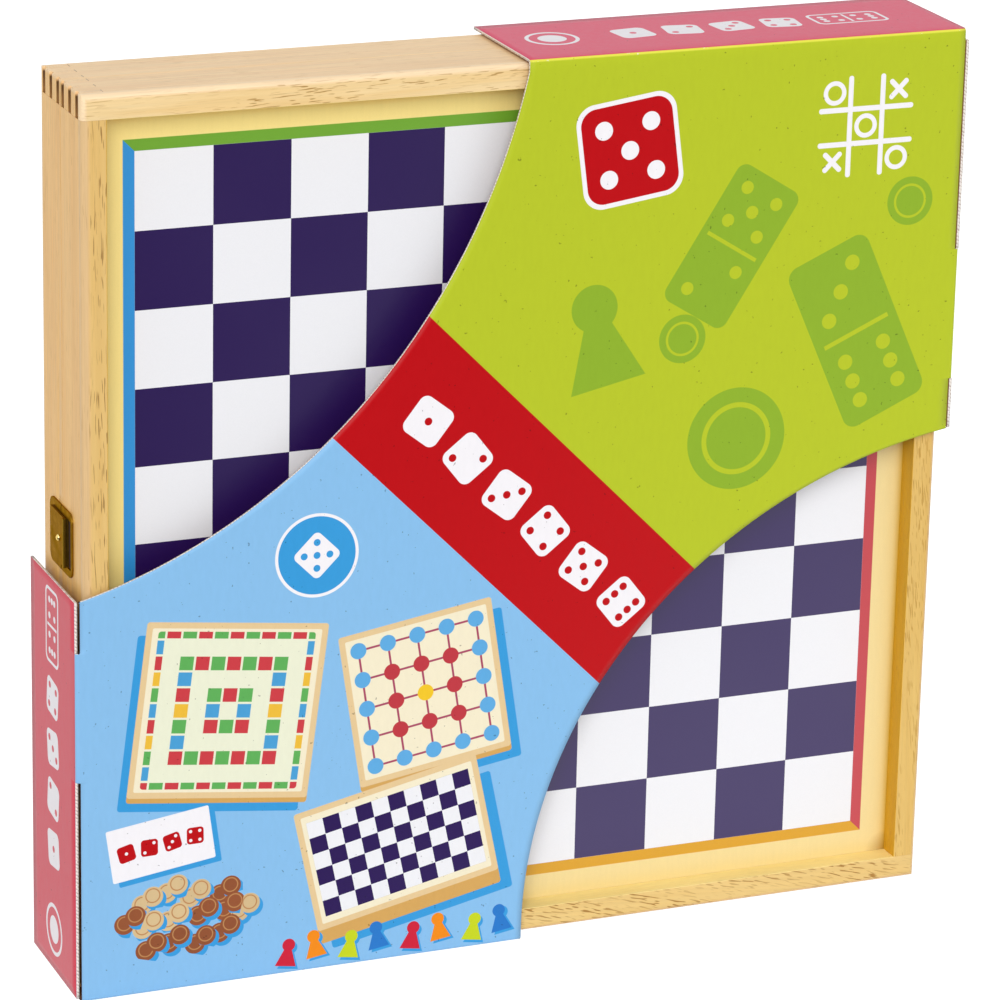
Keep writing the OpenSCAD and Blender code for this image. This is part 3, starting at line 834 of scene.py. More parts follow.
@dataclass(frozen=True)
class RacePrint:
    """Cross-and-circle race board: a cross of round steps and a ringed home in each corner."""

    pitch: float = 15.6
    home: float = 37.0
    home_at: float = 76.0

    def colour(self, plane: Plane) -> Signal:
        """Colour of the print on a plane whose origin is the middle of the box."""
        n = plane.nodes
        right, top = plane.u.above(0.0), plane.v.above(0.0)
        upper = n.mix(right, INK_GREEN, INK_RED)
        lower = n.mix(right, INK_BLUE, INK_YELLOW)
        quarter = n.mix(top, lower, upper)
        fold = plane.mirrored()
        corner = fold.moved(self.home_at, self.home_at)
        long_side, short_side = fold.u.largest(fold.v), fold.u.smallest(fold.v)
        cross = short_side.below(self.pitch * 1.5) * long_side.below(self.pitch * 7.5)
        steps = plane.moved(-self.pitch / 2, -self.pitch / 2).tiled(self.pitch)
        arm = (fold.u - fold.v).above(0.0)
        lane = n.mix(arm, n.mix(top, INK_BLUE, INK_RED), n.mix(right, INK_GREEN, INK_YELLOW))
        goal = self.pitch * 2.6
        return n.layered(
            srgb(248, 238, 204),
            (corner.disc(self.home), quarter),
            (corner.ring(self.home - 5.0, 1.4), INK_WHITE),
            (corner.disc(self.home - 13.0), INK_WHITE),
            (corner.mirrored().moved(8.5, 8.5).disc(5.6), quarter),
            (cross * steps.disc(5.6), n.mix(short_side.below(self.pitch * 0.5), INK_WHITE, lane)),
            (cross * steps.ring(5.8, 0.9), srgb(196, 60, 72)),
            (plane.tile(goal, goal, 5.0), INK_WHITE),
            (plane.ring(15.0, 2.2), INK_RED),
            (plane.disc(8.0), INK_YELLOW),
            ((abs(plane.square() - 127.0) - 0.9).inked(), srgb(226, 150, 40)),
        )


@dataclass(frozen=True)
class MillPrint:
    """Nine men's morris: three nested squares, joined at their middles, with round points."""

    sizes: tuple[float, float, float] = (104.0, 70.0, 36.0)
    point: float = 8.2
    line: float = 1.8

    def colour(self, plane: Plane) -> Signal:
        """Colour of the print on a plane whose origin is the middle of the box."""
        n = plane.nodes
        x, z = plane.u, plane.v
        weave = n.noise(n.join(x * 0.03, z * 1.4, 0.0), 1.0, 3.0, 0.6)
        ground = n.shaded(srgb(246, 232, 186), weave * 0.12 + 0.93)
        fold = plane.mirrored()
        reach = plane.square()
        lines = [(abs(reach - size) - self.line / 2).inked() for size in self.sizes]
        near = fold.u.smallest(fold.v) - self.line / 2
        lines.append(near.inked() * reach.above(self.sizes[2]) * reach.below(self.sizes[0]))
        colour = n.mix(united(lines), ground, srgb(150, 60, 96))
        for size, ink in zip(self.sizes, (srgb(120, 186, 230), INK_RED, INK_YELLOW)):
            places = ((size, 0.0), (0.0, size), (size, size))
            points = [fold.moved(*place) for place in places]
            colour = n.layered(
                colour,
                (united(point.disc(self.point) for point in points), ink),
                (united(point.ring(self.point, 0.9) for point in points), srgb(112, 52, 96)),
            )
        return colour


@dataclass(frozen=True)
class BoardPanel:
    """Printed and lacquered board with one print on each face."""

    name: str
    outer: Union[DraughtsPrint, RacePrint]
    inner: Union[TrackPrint, MillPrint]
    middle_y: float
    middle_z: float
    outer_sign: float

    def material(self) -> bpy.types.Material:
        """Builds the finish."""
        n = Nodes(self.name)
        x, y, z = n.place()
        plane = Plane(n, x, z - self.middle_z)
        outside = (y * self.outer_sign).above(abs(self.middle_y))
        speck = n.noise(n.join(x, y, z), 3.0, 2.0, 0.6)
        colour = n.mix(outside, self.inner.colour(plane), self.outer.colour(plane))
        colour = n.shaded(colour, speck * 0.07 + 0.965)
        haze = n.noise(n.join(x, y, z), 0.02, 2.0, 0.5)
        roughness = haze * 0.1 + speck * 0.05 + 0.27
        return n.surface(colour, roughness, speck, 0.006, {"Specular IOR Level": 0.5})


class SleeveInk:
    """Colours of the card's print; the flap pinks and the fold yellow hold painted light."""

    LIME = srgb(185, 199, 40)
    LEAF = srgb(143, 178, 44)
    BAND = srgb(190, 0, 12)
    SKY = srgb(138, 192, 236)
    SHADOW = srgb(56, 156, 220)
    # Flap reds lightened to pink: painted sheen of the flaps' gloss seen at a grazing angle.
    SHEENED_WALL = srgb(217, 77, 93)
    TOP = srgb(225, 79, 110)
    FOLD_HIGHLIGHT = srgb(238, 234, 84)
    PAPER = srgb(247, 244, 248)
    BROWN = srgb(150, 84, 50)
    TAN = srgb(232, 202, 152)
    PINE = srgb(214, 166, 92)
    MAGENTA = srgb(170, 70, 100)


@dataclass(frozen=True)
class SleevePrint:
    """The card's print: lime above, sky blue below and a red band between them.

    The flaps carry the colours of their sides, lightened to pink by painted sheen, and the
    top fold has a painted highlight. All motifs are plain games gear: dice, dominoes, men,
    pawns and boards.
    """

    name: str
    half_width: float
    front_y: float
    top_z: float
    fold: float
    band_low: float = 112.6
    band_high: float = 180.3

    def material(self) -> bpy.types.Material:
        """Builds the finish."""
        n = Nodes(self.name)
        x, y, z = n.place()
        front = self.front(Plane(n, x, z))
        behind = y.above(self.front_y + self.fold * 0.8, 0.15)
        on_left = behind * x.below(-self.half_width + 0.5)
        on_top = z.above(self.top_z - 0.2, 0.1)
        # flap reds with painted sheen
        flaps = n.mix(on_top, SleeveInk.SHEENED_WALL, SleeveInk.TOP)
        along = z + on_top * (x - z)
        marks, pips = self.flap_marks(Plane(n, along, y - 1.0))
        flecks = n.noise(n.join(x * 0.35, y, z * 0.35), 1.0, 3.0, 0.7)
        # Painted highlight along the rounded top fold: yellow, broken by white flecks.
        fold_highlight = z.above(self.top_z - 0.75, 0.5) * (1 - on_top)
        colour = n.layered(
            front,
            (on_left.largest(on_top), n.mix(marks * (1 - pips), flaps, SleeveInk.PAPER)),
            (fold_highlight, SleeveInk.FOLD_HIGHLIGHT),
            (fold_highlight * flecks.above(0.66, 0.05), SleeveInk.PAPER),
        )
        fibre = n.noise(n.join(x * 0.6, y * 0.6, z * 0.2), 1.0, 3.0, 0.6)
        speck = n.noise(n.join(x, y, z), 0.75, 1.0, 0.6).above(0.765, 0.02)
        colour = n.shaded(colour, fibre * 0.08 + 0.96 - speck * 0.45)
        dent = n.noise(n.join(x * 0.02, y * 0.02, z * 0.05), 1.0, 1.0, 0.5)
        height = x.ripple(FLUTE_PITCH) * 0.12 + fibre * 0.15 + dent * 0.7
        roughness = fibre * 0.16 + 0.28
        return n.surface(colour, roughness, height, 0.04, {"Specular IOR Level": 0.16})

    @property
    def middle(self) -> float:
        """Sum of x and z along the middle of the band."""
        return (self.band_low + self.band_high) / 2

    def front(self, plane: Plane) -> Signal:
        """Print of the front panel, with x to the right and z up."""
        n = plane.nodes
        level = plane.u + plane.v
        along = Plane(n, (plane.u - plane.v + self.middle) * math.sqrt(0.5),
                      (level - self.middle) * math.sqrt(0.5))
        faces, pips = along.dice_row(19.0, 13.6, -3, 6)
        band = n.mix(faces * (1 - pips), SleeveInk.BAND, SleeveInk.PAPER)
        colour = n.mix(level.above(self.band_high, 0.2), band, self.green(plane))
        return n.mix(level.below(self.band_low, 0.2), colour, self.blue(plane))

    def flap_marks(self, plane: Plane) -> tuple[Signal, Signal]:
        """White marks of a flap, with u along it: a round man, four dice and a domino."""
        faces, pips = plane.dice_row(17.0, 12.0, 2, 4)
        man = plane.moved(15.0, 0.0)
        domino = plane.moved(117.0, 0.0)
        rim = domino.tile(25.0, 13.5, 2.6) * (1 - domino.tile(23.0, 11.5, 1.8))
        halves = domino.mirrored().moved(5.8, 0.0)
        faces = united((
            faces, man.ring(8.0, 1.3), man.disc(4.6), rim, domino.tile(0.9, 9.6),
            halves.moved(2.6, 0.0).disc(1.1), halves.mirrored().moved(2.6, 2.6).disc(1.1),
        ))
        return faces, pips

    def green(self, plane: Plane) -> Signal:
        """Lime field with dominoes, men and a pawn in a deeper green, and white outlines."""
        n = plane.nodes
        shapes: list[Signal] = []
        for u, v, tilt, width, upper, lower in ((68.0, 228.0, -32.0, 25.0, 5, 2),
                                                (113.0, 196.0, 24.0, 30.0, 3, 6)):
            tile = plane.moved(u, v, tilt)
            pips = united((
                tile.moved(0.0, width / 2).pips(upper, width * 0.24, width * 0.085),
                tile.moved(0.0, -width / 2).pips(lower, width * 0.24, width * 0.085),
                tile.tile(width * 0.8, width * 0.05),
            ))
            shapes.append(tile.tile(width, width * 2, width * 0.14) * (1 - pips))
        for u, v, radius in ((72.0, 164.0, 17.0), (130.0, 238.0, 8.0), (52.0, 199.0, 8.0)):
            man = plane.moved(u, v)
            shapes.append(man.disc(radius) * (1 - man.ring(radius * 0.66, radius * 0.1)))
        shapes.append(plane.moved(27.0, 186.0, 12.0).pawn(34.0))
        colour = n.mix(united(shapes), SleeveInk.LIME, SleeveInk.LEAF)
        return self.white_marks(plane, colour)

    def white_marks(self, plane: Plane, colour: Signal) -> Signal:
        """Red die and a white noughts-and-crosses grid in the upper part of the lime field."""
        n = plane.nodes
        die = plane.moved(32.0, 262.0, 8.0)
        grid = plane.moved(113.0, 264.0)
        bars = united((
            grid.mirrored().moved(5.6, 0.0).tile(1.7, 33.0, 0.8),
            grid.mirrored().moved(0.0, 5.6).tile(33.0, 1.7, 0.8),
        ))
        places = ((-11.2, 11.2), (0, 0), (11.2, -11.2))
        rings = united(grid.moved(u, v).ring(3.2, 1.5) for u, v in places)
        crosses = grid.moved(0.0, 0.0, 45.0).mirrored().moved(15.84, 0.0)
        strokes = united((crosses.tile(8.6, 1.7, 0.8), crosses.tile(1.7, 8.6, 0.8)))
        return n.layered(
            colour,
            (die.tile(34.0, 34.0, 6.5), SleeveInk.PAPER),
            (die.tile(31.0, 31.0, 5.4), SleeveInk.BAND),
            (die.pips(5, 8.0, 3.0), SleeveInk.PAPER),
            (united((bars, rings, strokes)), SleeveInk.PAPER),
        )

    def blue(self, plane: Plane) -> Signal:
        """Sky field with small pictures of boards, men, dice and pawns."""
        colour = self.badge(plane.moved(-70.0, 140.0))
        colour = self.ring_board(plane.moved(-99.0, 92.0, -7.0), colour)
        colour = self.dot_board(plane.moved(-33.0, 90.0, 9.0), colour)
        colour = self.check_board(plane.moved(-42.0, 40.0, 12.0), colour)
        colour = self.loose_men(plane.moved(-112.0, 22.0), colour)
        colour = self.slip(plane.moved(-121.0, 50.0, 8.0), colour)
        return self.loose_pawns(plane, colour)

    def badge(self, local: Plane) -> Signal:
        """Sky field with a round badge that shows one die."""
        n = local.nodes
        turned = local.moved(0.0, 0.0, 45.0)
        die = turned.tile(11.6, 11.6, 1.8) * (1 - turned.pips(5, 3.0, 1.15))
        return n.layered(
            SleeveInk.SKY,
            (local.disc(13.8), SleeveInk.PAPER),
            (local.disc(12.8), SleeveInk.SHADOW),
            (die, SleeveInk.PAPER),
        )

    def board(
        self, local: Plane, size: tuple[float, float], cast: float, colour: Signal, depth: float = 1.6
    ) -> Signal:
        """A board's wooden frame with a darker edge below it and its mid-blue shadow."""
        width, height = size
        return local.nodes.layered(
            colour,
            (local.moved(cast, -2.8 - depth).tile(width, height, 1.0), SleeveInk.SHADOW),
            (local.moved(0.0, -depth).tile(width, height, 1.0), SleeveInk.PINE),
            (local.tile(width, height, 1.0), SleeveInk.TAN),
            (local.tile(width - 4.0, height - 4.0, 0.6), srgb(246, 236, 206)),
        )

    def ring_board(self, local: Plane, colour: Signal) -> Signal:
        """Board with nested rings of coloured cells."""
        n = local.nodes
        colour = self.board(local, (60.0, 58.0), -2.6, colour)
        cell = 5.2
        shifted = local.moved(-cell / 2, -cell / 2)
        column, row = (shifted.u / cell).floor(), (shifted.v / cell).floor()
        ring = abs(column).largest(abs(row))
        step = (ring + column * 2.0 + row).wrap(4.0)
        inks = n.palette(
            step, (srgb(96, 176, 90), srgb(240, 190, 60), srgb(206, 62, 70), srgb(74, 160, 214))
        )
        gaps = shifted.tiled(cell).tile(cell - 0.7, cell - 0.7)
        inks = n.mix(ring.wrap(2.0).above(0.5) * gaps, srgb(238, 240, 214), inks)
        return n.mix(local.tile(52.0, 52.0, 1.0), colour, inks)

    def dot_board(self, local: Plane, colour: Signal) -> Signal:
        """Board with a lattice of coloured points."""
        n = local.nodes
        colour = self.board(local, (52.0, 52.0), 3.0, colour)
        pitch = 10.0
        shifted = local.moved(-pitch / 2, -pitch / 2)
        cell = shifted.tiled(pitch)
        lattice = united((cell.tile(pitch * 2, 0.7), cell.tile(0.7, pitch * 2)))
        colour = n.mix(lattice * local.tile(42.0, 42.0), colour, SleeveInk.MAGENTA)
        ring = abs((shifted.u / pitch).floor()).largest(abs((shifted.v / pitch).floor()))
        inks = n.palette(ring, (INK_YELLOW, INK_RED, srgb(96, 172, 226)))
        return n.mix(cell.disc(2.7) * local.tile(46.0, 46.0), colour, inks)

    def check_board(self, local: Plane, colour: Signal) -> Signal:
        """Wooden box with a chequered top."""
        n = local.nodes
        colour = self.board(local, (63.0, 42.0), 3.6, colour, 4.6)
        cell = 5.6
        checks = ((local.u / cell).floor() + (local.v / cell).floor()).wrap(2.0)
        inks = n.mix(checks, INK_INDIGO, INK_WHITE)
        return n.mix(local.tile(cell * 10, cell * 6), colour, inks)

    def loose_men(self, local: Plane, colour: Signal) -> Signal:
        """Heap of brown and cream men, each in its own cell of a strewn lattice."""
        n = local.nodes
        for shift, lift in ((0.0, 0.0), (3.6, 2.4)):
            strewn = local.moved(shift, lift)
            man, at, chance = strewn.scattered(8.2, 0.45)
            within = (n.length(at.u / 25.0, at.v / 12.0) - 1).below(0.0)
            cast = n.length(man.u - 1.0, man.v + 1.2)
            face = n.mix(chance.above(0.42), SleeveInk.TAN, SleeveInk.BROWN)
            colour = n.layered(
                colour,
                ((cast - 3.5).inked() * within, SleeveInk.SHADOW),
                (man.disc(3.4) * within, n.shaded(face, chance * 0.2 + 0.8)),
                (man.moved(0.0, 0.35).ring(2.3, 0.4) * within, srgb(190, 134, 84)),
            )
        return colour

    def slip(self, local: Plane, colour: Signal) -> Signal:
        """Slip of paper with a row of red dice."""
        faces, pips = local.dice_row(7.6, 5.6, -2, 4)
        return local.nodes.layered(
            colour,
            (local.moved(1.8, -1.8).tile(34.0, 18.0, 0.6), SleeveInk.SHADOW),
            (local.tile(34.0, 18.0, 0.6), SleeveInk.PAPER),
            (faces * (1 - pips), SleeveInk.BAND),
        )

    def loose_pawns(self, plane: Plane, colour: Signal) -> Signal:
        """Row of small pawns in four colours along the foot."""
        n = plane.nodes
        pitch, first, last = 10.6, -8.0, 0.0
        index = (plane.u / pitch).floor()
        odd = index.wrap(2.0)
        within = index.above(first - 0.5) * index.below(last - 0.5)
        cell = Plane(n, plane.u.wrap(pitch) - pitch / 2, plane.v - 2.6 - odd * 1.8)
        pawn = cell.leaned(9.0, odd * 2 - 1)
        inks = (srgb(206, 30, 56), srgb(244, 140, 20), srgb(200, 214, 30), srgb(40, 120, 200))
        return n.layered(
            colour,
            (pawn.moved(0.9, -0.9).pawn(9.4) * within, SleeveInk.SHADOW),
            (pawn.pawn(9.4) * within, n.palette(index.wrap(4.0), inks)),
        )


@dataclass(frozen=True)
class BookletPrint:
    """Cover of the rules booklet: white paper with a coloured foot and three pips."""

    name: str
    centre: tuple[float, float]
    width: float
    height: float

    def material(self) -> bpy.types.Material:
        """Builds the finish."""
        n = Nodes(self.name)
        x, y, z = n.place()
        plane = Plane(n, x, z).moved(*self.centre)
        fibre = n.noise(n.join(x, y, z), 2.0, 3.0, 0.6)
        stripe = plane.moved(0.0, -self.height * 0.34).tile(self.width * 2, self.height * 0.12)
        colour = n.layered(
            n.shaded(srgb(244, 243, 238), fibre * 0.06 + 0.96),
            (stripe, INK_BLUE),
            (plane.moved(0.0, 8.0).pips(3, 9.0, 4.0), INK_RED),
        )
        return n.surface(colour, fibre * 0.1 + 0.5, fibre, 0.02)


# ---- Pieces --------------------------------------------------------------------------------


def placed(name: str, data: bpy.types.ID) -> bpy.types.Object:
    """A new object with that mesh, lamp or camera, linked into the scene."""
    thing = bpy.data.objects.new(name, data)
    bpy.context.scene.collection.objects.link(thing)
    return thing


def flat_piece(
    name: str, corners: Sequence[tuple[float, float, float]], finish: bpy.types.Material
) -> bpy.types.Object:
    """A piece of one flat face with those corners, in metres."""
    mesh = bpy.data.meshes.new(name)
    mesh.from_pydata(corners, [], [range(len(corners))])
    mesh.materials.append(finish)
    return placed(name, mesh)


def points_of(mesh: bpy.types.Mesh) -> np.ndarray:
    """The mesh's points, one row of x, y and z each."""
    points = np.empty(len(mesh.vertices) * 3, np.float32)
    mesh.vertices.foreach_get("co", points)
    return points.reshape(-1, 3)


@dataclass(frozen=True)
class SoftEdges:
    """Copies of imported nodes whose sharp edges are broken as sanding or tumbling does."""

    body: str
    slot: str

    def copy(self, node: str, width: float, finish: bpy.types.Material) -> bpy.types.Object:
        """Makes one copy that stands for its node.

        Args:
            node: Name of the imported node.
            width: Width of the rounding in millimetres.
            finish: Material of the copy.

        Returns:
            The new piece.
        """
        source = bpy.data.objects[node]
        shape = bmesh.new()
        shape.from_mesh(source.data)
        bmesh.ops.remove_doubles(shape, verts=shape.verts, dist=0.002 * MM)
        flat = math.radians(0.4)
        bmesh.ops.dissolve_limit(shape, angle_limit=flat, verts=shape.verts, edges=shape.edges)
        mesh = bpy.data.meshes.new(node + "_finished")
        shape.to_mesh(mesh)
        shape.free()
        mesh.materials.append(finish)
        mesh.polygons.foreach_set("use_smooth", [True] * len(mesh.polygons))
        mesh.set_sharp_from_angle(angle=SHARP)
        piece = placed(node + "_finished", mesh)
        bevel = piece.modifiers.new("broken_edges", "BEVEL")
        bevel.width = width * MM
        bevel.segments = 2
        bevel.limit_method = "ANGLE"
        bevel.angle_limit = SHARP
        bevel.harden_normals = True
        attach(piece, self.body)
        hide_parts(node)
        return piece


@dataclass
class WoodenTray:
    """One tray: four beech rails and a printed board let into them."""

    side: str
    body: str
    board: BoardPanel
    rail_edge: float = 0.12
    thickness: float = 8.0

    def __post_init__(self) -> None:
        """Reads the frame's middle and half size, in millimetres."""
        low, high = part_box(self.side + "_left_rail")
        self.middle = (low.z + high.z) / 2 / MM
        self.half = (high.z - low.z) / 2 / MM

    def finishes(self) -> dict[str, Beech]:
        """The finish of each rail, by its place."""
        seed = 3.0 if self.side == "front" else 11.0
        top = WoodTone(srgb(253, 219, 169), srgb(242, 196, 140))
        flank = WoodTone(srgb(247, 199, 121), srgb(232, 173, 87))
        straw = WoodTone(srgb(248, 220, 168), srgb(232, 188, 108))
        honey = WoodTone(srgb(233, 196, 125), srgb(220, 174, 92))
        barley = WoodTone(srgb(236, 203, 132), srgb(222, 182, 104))
        wheat = WoodTone(srgb(228, 190, 108), srgb(214, 168, 80))
        # Recess tones are painted light: warm shade for the side rails' inner walls, a pale lift
        # against the shade for the level rails.
        painted_wall_shade = WoodTone(srgb(220, 169, 30), srgb(202, 146, 16))
        painted_recess_lift = WoodTone(srgb(255, 232, 156), srgb(250, 222, 138))
        frame = {"middle": self.middle, "half": self.half, "thickness": self.thickness,
                 "outer": flank, "recess": painted_wall_shade, "ends": flank, "crown": top,
                 # the rim tone is a painted sheen on the rounded front edges
                 "rim": srgb(222, 188, 140)}
        level = {**frame, "grain": Grain.ACROSS, "recess": painted_recess_lift}
        upright = {**frame, "grain": Grain.UPRIGHT}
        own = {
            # the top rail's rim is a brighter painted sheen
            "top": {**level, "outer": top, "broad": straw, "rim": srgb(252, 224, 184),
                    "pore": srgb(162, 114, 26), "corner": 1.5, "slant": -1.5, "seed": seed},
            "foot": {**level, "broad": barley, "pore": srgb(152, 98, 4), "slant": 16.0,
                     "pores": 1.1, "pore_length": 4.0, "pore_width": 0.6,
                     "recess_pores": 0.05, "seed": seed + 2.1},
            "left": {**upright, "broad": honey, "corner": 2.4, "slant": 1.0, "pores": 0.6,
                     "pore_length": 5.6, "seed": seed + 4.3},
            "right": {**upright, "broad": wheat, "pore": srgb(188, 142, 58), "slant": 6.0,
                      "pores": 0.8, "seed": seed + 6.7},
        }
        return {place: Beech(f"{self.side}_beech_{place}", **look) for place, look in own.items()}

    def build(self) -> None:
        """Dresses the rails and the board."""
        maker = SoftEdges(self.body, "wood_rail")
        looks = self.finishes()
        for place, look in looks.items():
            node = f"{self.side}_{place}_rail"
            maker.copy(node, self.rail_edge, look.material())
        bpy.data.objects[self.side + "_board"].material_slots[0].material = self.board.material()
        LOG.info("%s tray: %d rails and a printed board", self.side, len(looks))


@dataclass
class Hardware:
    """The brass hinges and the clasp, with their pins, screws and nails."""

    plate_edge: float = 0.14
    barrel_squash: float = 0.25
    barrel_from: float = 8.6
    slot_depth: float = 0.05
    slot_ys: tuple[float, float] = (1.35, 4.65)
    slot_reach: float = 7.9
    hinge_parts: tuple[tuple[str, tuple[str, ...]], ...] = (
        ("front_tray", ("upper_hinge_front_leaf", "lower_hinge_front_leaf", "upper_hinge_pin",
                        "lower_hinge_pin", "hinge_screws_front")),
        ("back_tray", ("upper_hinge_back_leaf", "lower_hinge_back_leaf", "hinge_screws_back")),
    )
    clasp_parts: tuple[tuple[str, tuple[str, ...]], ...] = (
        ("front_tray", ("clasp_catch", "clasp_nails_front")),
        ("back_tray", ("clasp_base", "clasp_pin", "clasp_nails_back")),
        ("clasp_flap", ("clasp_flap", "clasp_button")),
    )

    def build(self) -> None:
        """Dresses each piece in the brass of its fitting."""
        hinge = Brass("hinge_brass").material()
        for body, nodes in self.hinge_parts:
            for node in nodes:
                SoftEdges(body, "hinge_brass").copy(node, self.plate_edge, hinge)
        plate = Brass(
            "clasp_brass", srgb(172, 136, 48), srgb(142, 110, 32), 0.3, srgb(199, 174, 165)
        ).material()
        button = Brass("button_brass", srgb(255, 234, 160), srgb(240, 204, 116), 0.2).material()
        for body, nodes in self.clasp_parts:
            for node in nodes:
                finish = button if node == "clasp_button" else plate
                piece = SoftEdges(body, "clasp_brass").copy(node, self.plate_edge, finish)
                if node in ("clasp_base", "clasp_flap", "clasp_pin"):
                    self.press_barrel(piece.data)
        self.slot_shade()
        LOG.info("hardware: two hinges and a clasp")

    def press_barrel(self, mesh: bpy.types.Mesh) -> None:
        """Rolls the knuckles flat on the plate: what stands past it keeps part of its height."""
        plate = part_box("clasp_catch")[0]
        points = points_of(mesh)
        past = np.minimum(points[:, 0] - plate.x, 0) * (points[:, 1] > self.barrel_from * MM)
        points[:, 0] -= past * (1 - self.barrel_squash)
        mesh.vertices.foreach_set("co", points.ravel())
        mesh.update()

    def slot_shade(self) -> None:
        """Dark sheet of painted shade on the floor of the catch plate's slot, a rectangle just proud
        of the wood.
        """
        low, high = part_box("clasp_catch")
        wall = high.x - self.slot_depth * MM
        front, back = (low.y + y * MM for y in self.slot_ys)
        foot, top = ((low.z + high.z) / 2 + sign * self.slot_reach * MM for sign in (-1, 1))
        corners = [(wall, back, foot), (wall, back, top), (wall, front, top), (wall, front, foot)]
        # painted shade: a dark sheet where the slot's gap lies in shadow
        finish = PaintedWood("slot_shade", srgb(46, 26, 30), 0.6).material()
        piece = flat_piece("catch_slot_shade_sheet", corners, finish)
        floor = piece.modifiers.new("floor", "SOLIDIFY")
        floor.thickness = self.slot_depth * MM * 0.8
        floor.offset = -1.0
        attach(piece, "front_tray")


@dataclass
class Games:
    """The loose pieces in the front tray."""

    body: str = "front_tray"
    pawn_edge: float = 0.7
    man_edge: float = 0.2
    die_edge: float = 0.3
    booklet_edge: float = 0.5
    place_attribute: str = "die_place"
    colours: tuple[tuple[str, Colour], ...] = (
        ("red", srgb(204, 28, 44)),
        ("orange", srgb(244, 134, 24)),
        ("green", srgb(176, 204, 36)),
        ("blue", srgb(70, 160, 222)),
    )

    def build(self) -> None:
        """Dresses every loose piece."""
        self.men()
        self.pawns()
        self.dice()
        self.booklet()

    def men(self) -> None:
        """Light and dark draughtsmen."""
        light = TurnedWood("light_men", srgb(238, 214, 168), srgb(214, 172, 108))
        dark = TurnedWood("dark_men", srgb(132, 72, 38), srgb(84, 40, 20))
        SoftEdges(self.body, "light_wood").copy("draughtsmen_light", self.man_edge, light.material())
        SoftEdges(self.body, "dark_wood").copy("draughtsmen_dark", self.man_edge, dark.material())
        LOG.info("games: light and dark draughtsmen")

    def pawns(self) -> None:
        """Horse and goose pawns in four colours."""
        for name, colour in self.colours:
            finish = PaintedWood(name + "_paint", colour).material()
            maker = SoftEdges(self.body, name + "_paint")
            maker.copy("horse_pawns_" + name, self.pawn_edge, finish)
            maker.copy("goose_pawn_" + name, self.pawn_edge, finish)
        LOG.info("games: horse and goose pawns in %d colours", len(self.colours))

    def dice(self) -> None:
        """Five dice, each with its own place written into its mesh for the pips."""
        low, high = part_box("die_1")
        half = (high.x - low.x) / 2 / MM
        finish = DiceResin("dice_resin", self.place_attribute, half).material()
        for number in range(1, 6):
            node = f"die_{number}"
            mesh = SoftEdges(self.body, "dice_plastic").copy(node, self.die_edge, finish).data
            low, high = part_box(node)
            local = (points_of(mesh) - np.array((low + high) / 2, np.float32)) / MM
            turned = np.roll(local, number, axis=1)
            attribute = mesh.attributes.new(self.place_attribute, "FLOAT_VECTOR", "POINT")
            attribute.data.foreach_set("vector", turned.astype(np.float32).ravel())
        LOG.info("games: five dice")

    def booklet(self) -> None:
        """Rules booklet."""
        low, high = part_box("rules_booklet")
        size = (high - low) / MM
        centre = ((low.x + high.x) / 2 / MM, (low.z + high.z) / 2 / MM)
        finish = BookletPrint("booklet_paper", centre, size.x, size.z).material()
        SoftEdges(self.body, "paper").copy("rules_booklet", self.booklet_edge, finish)
        LOG.info("games: rules booklet")


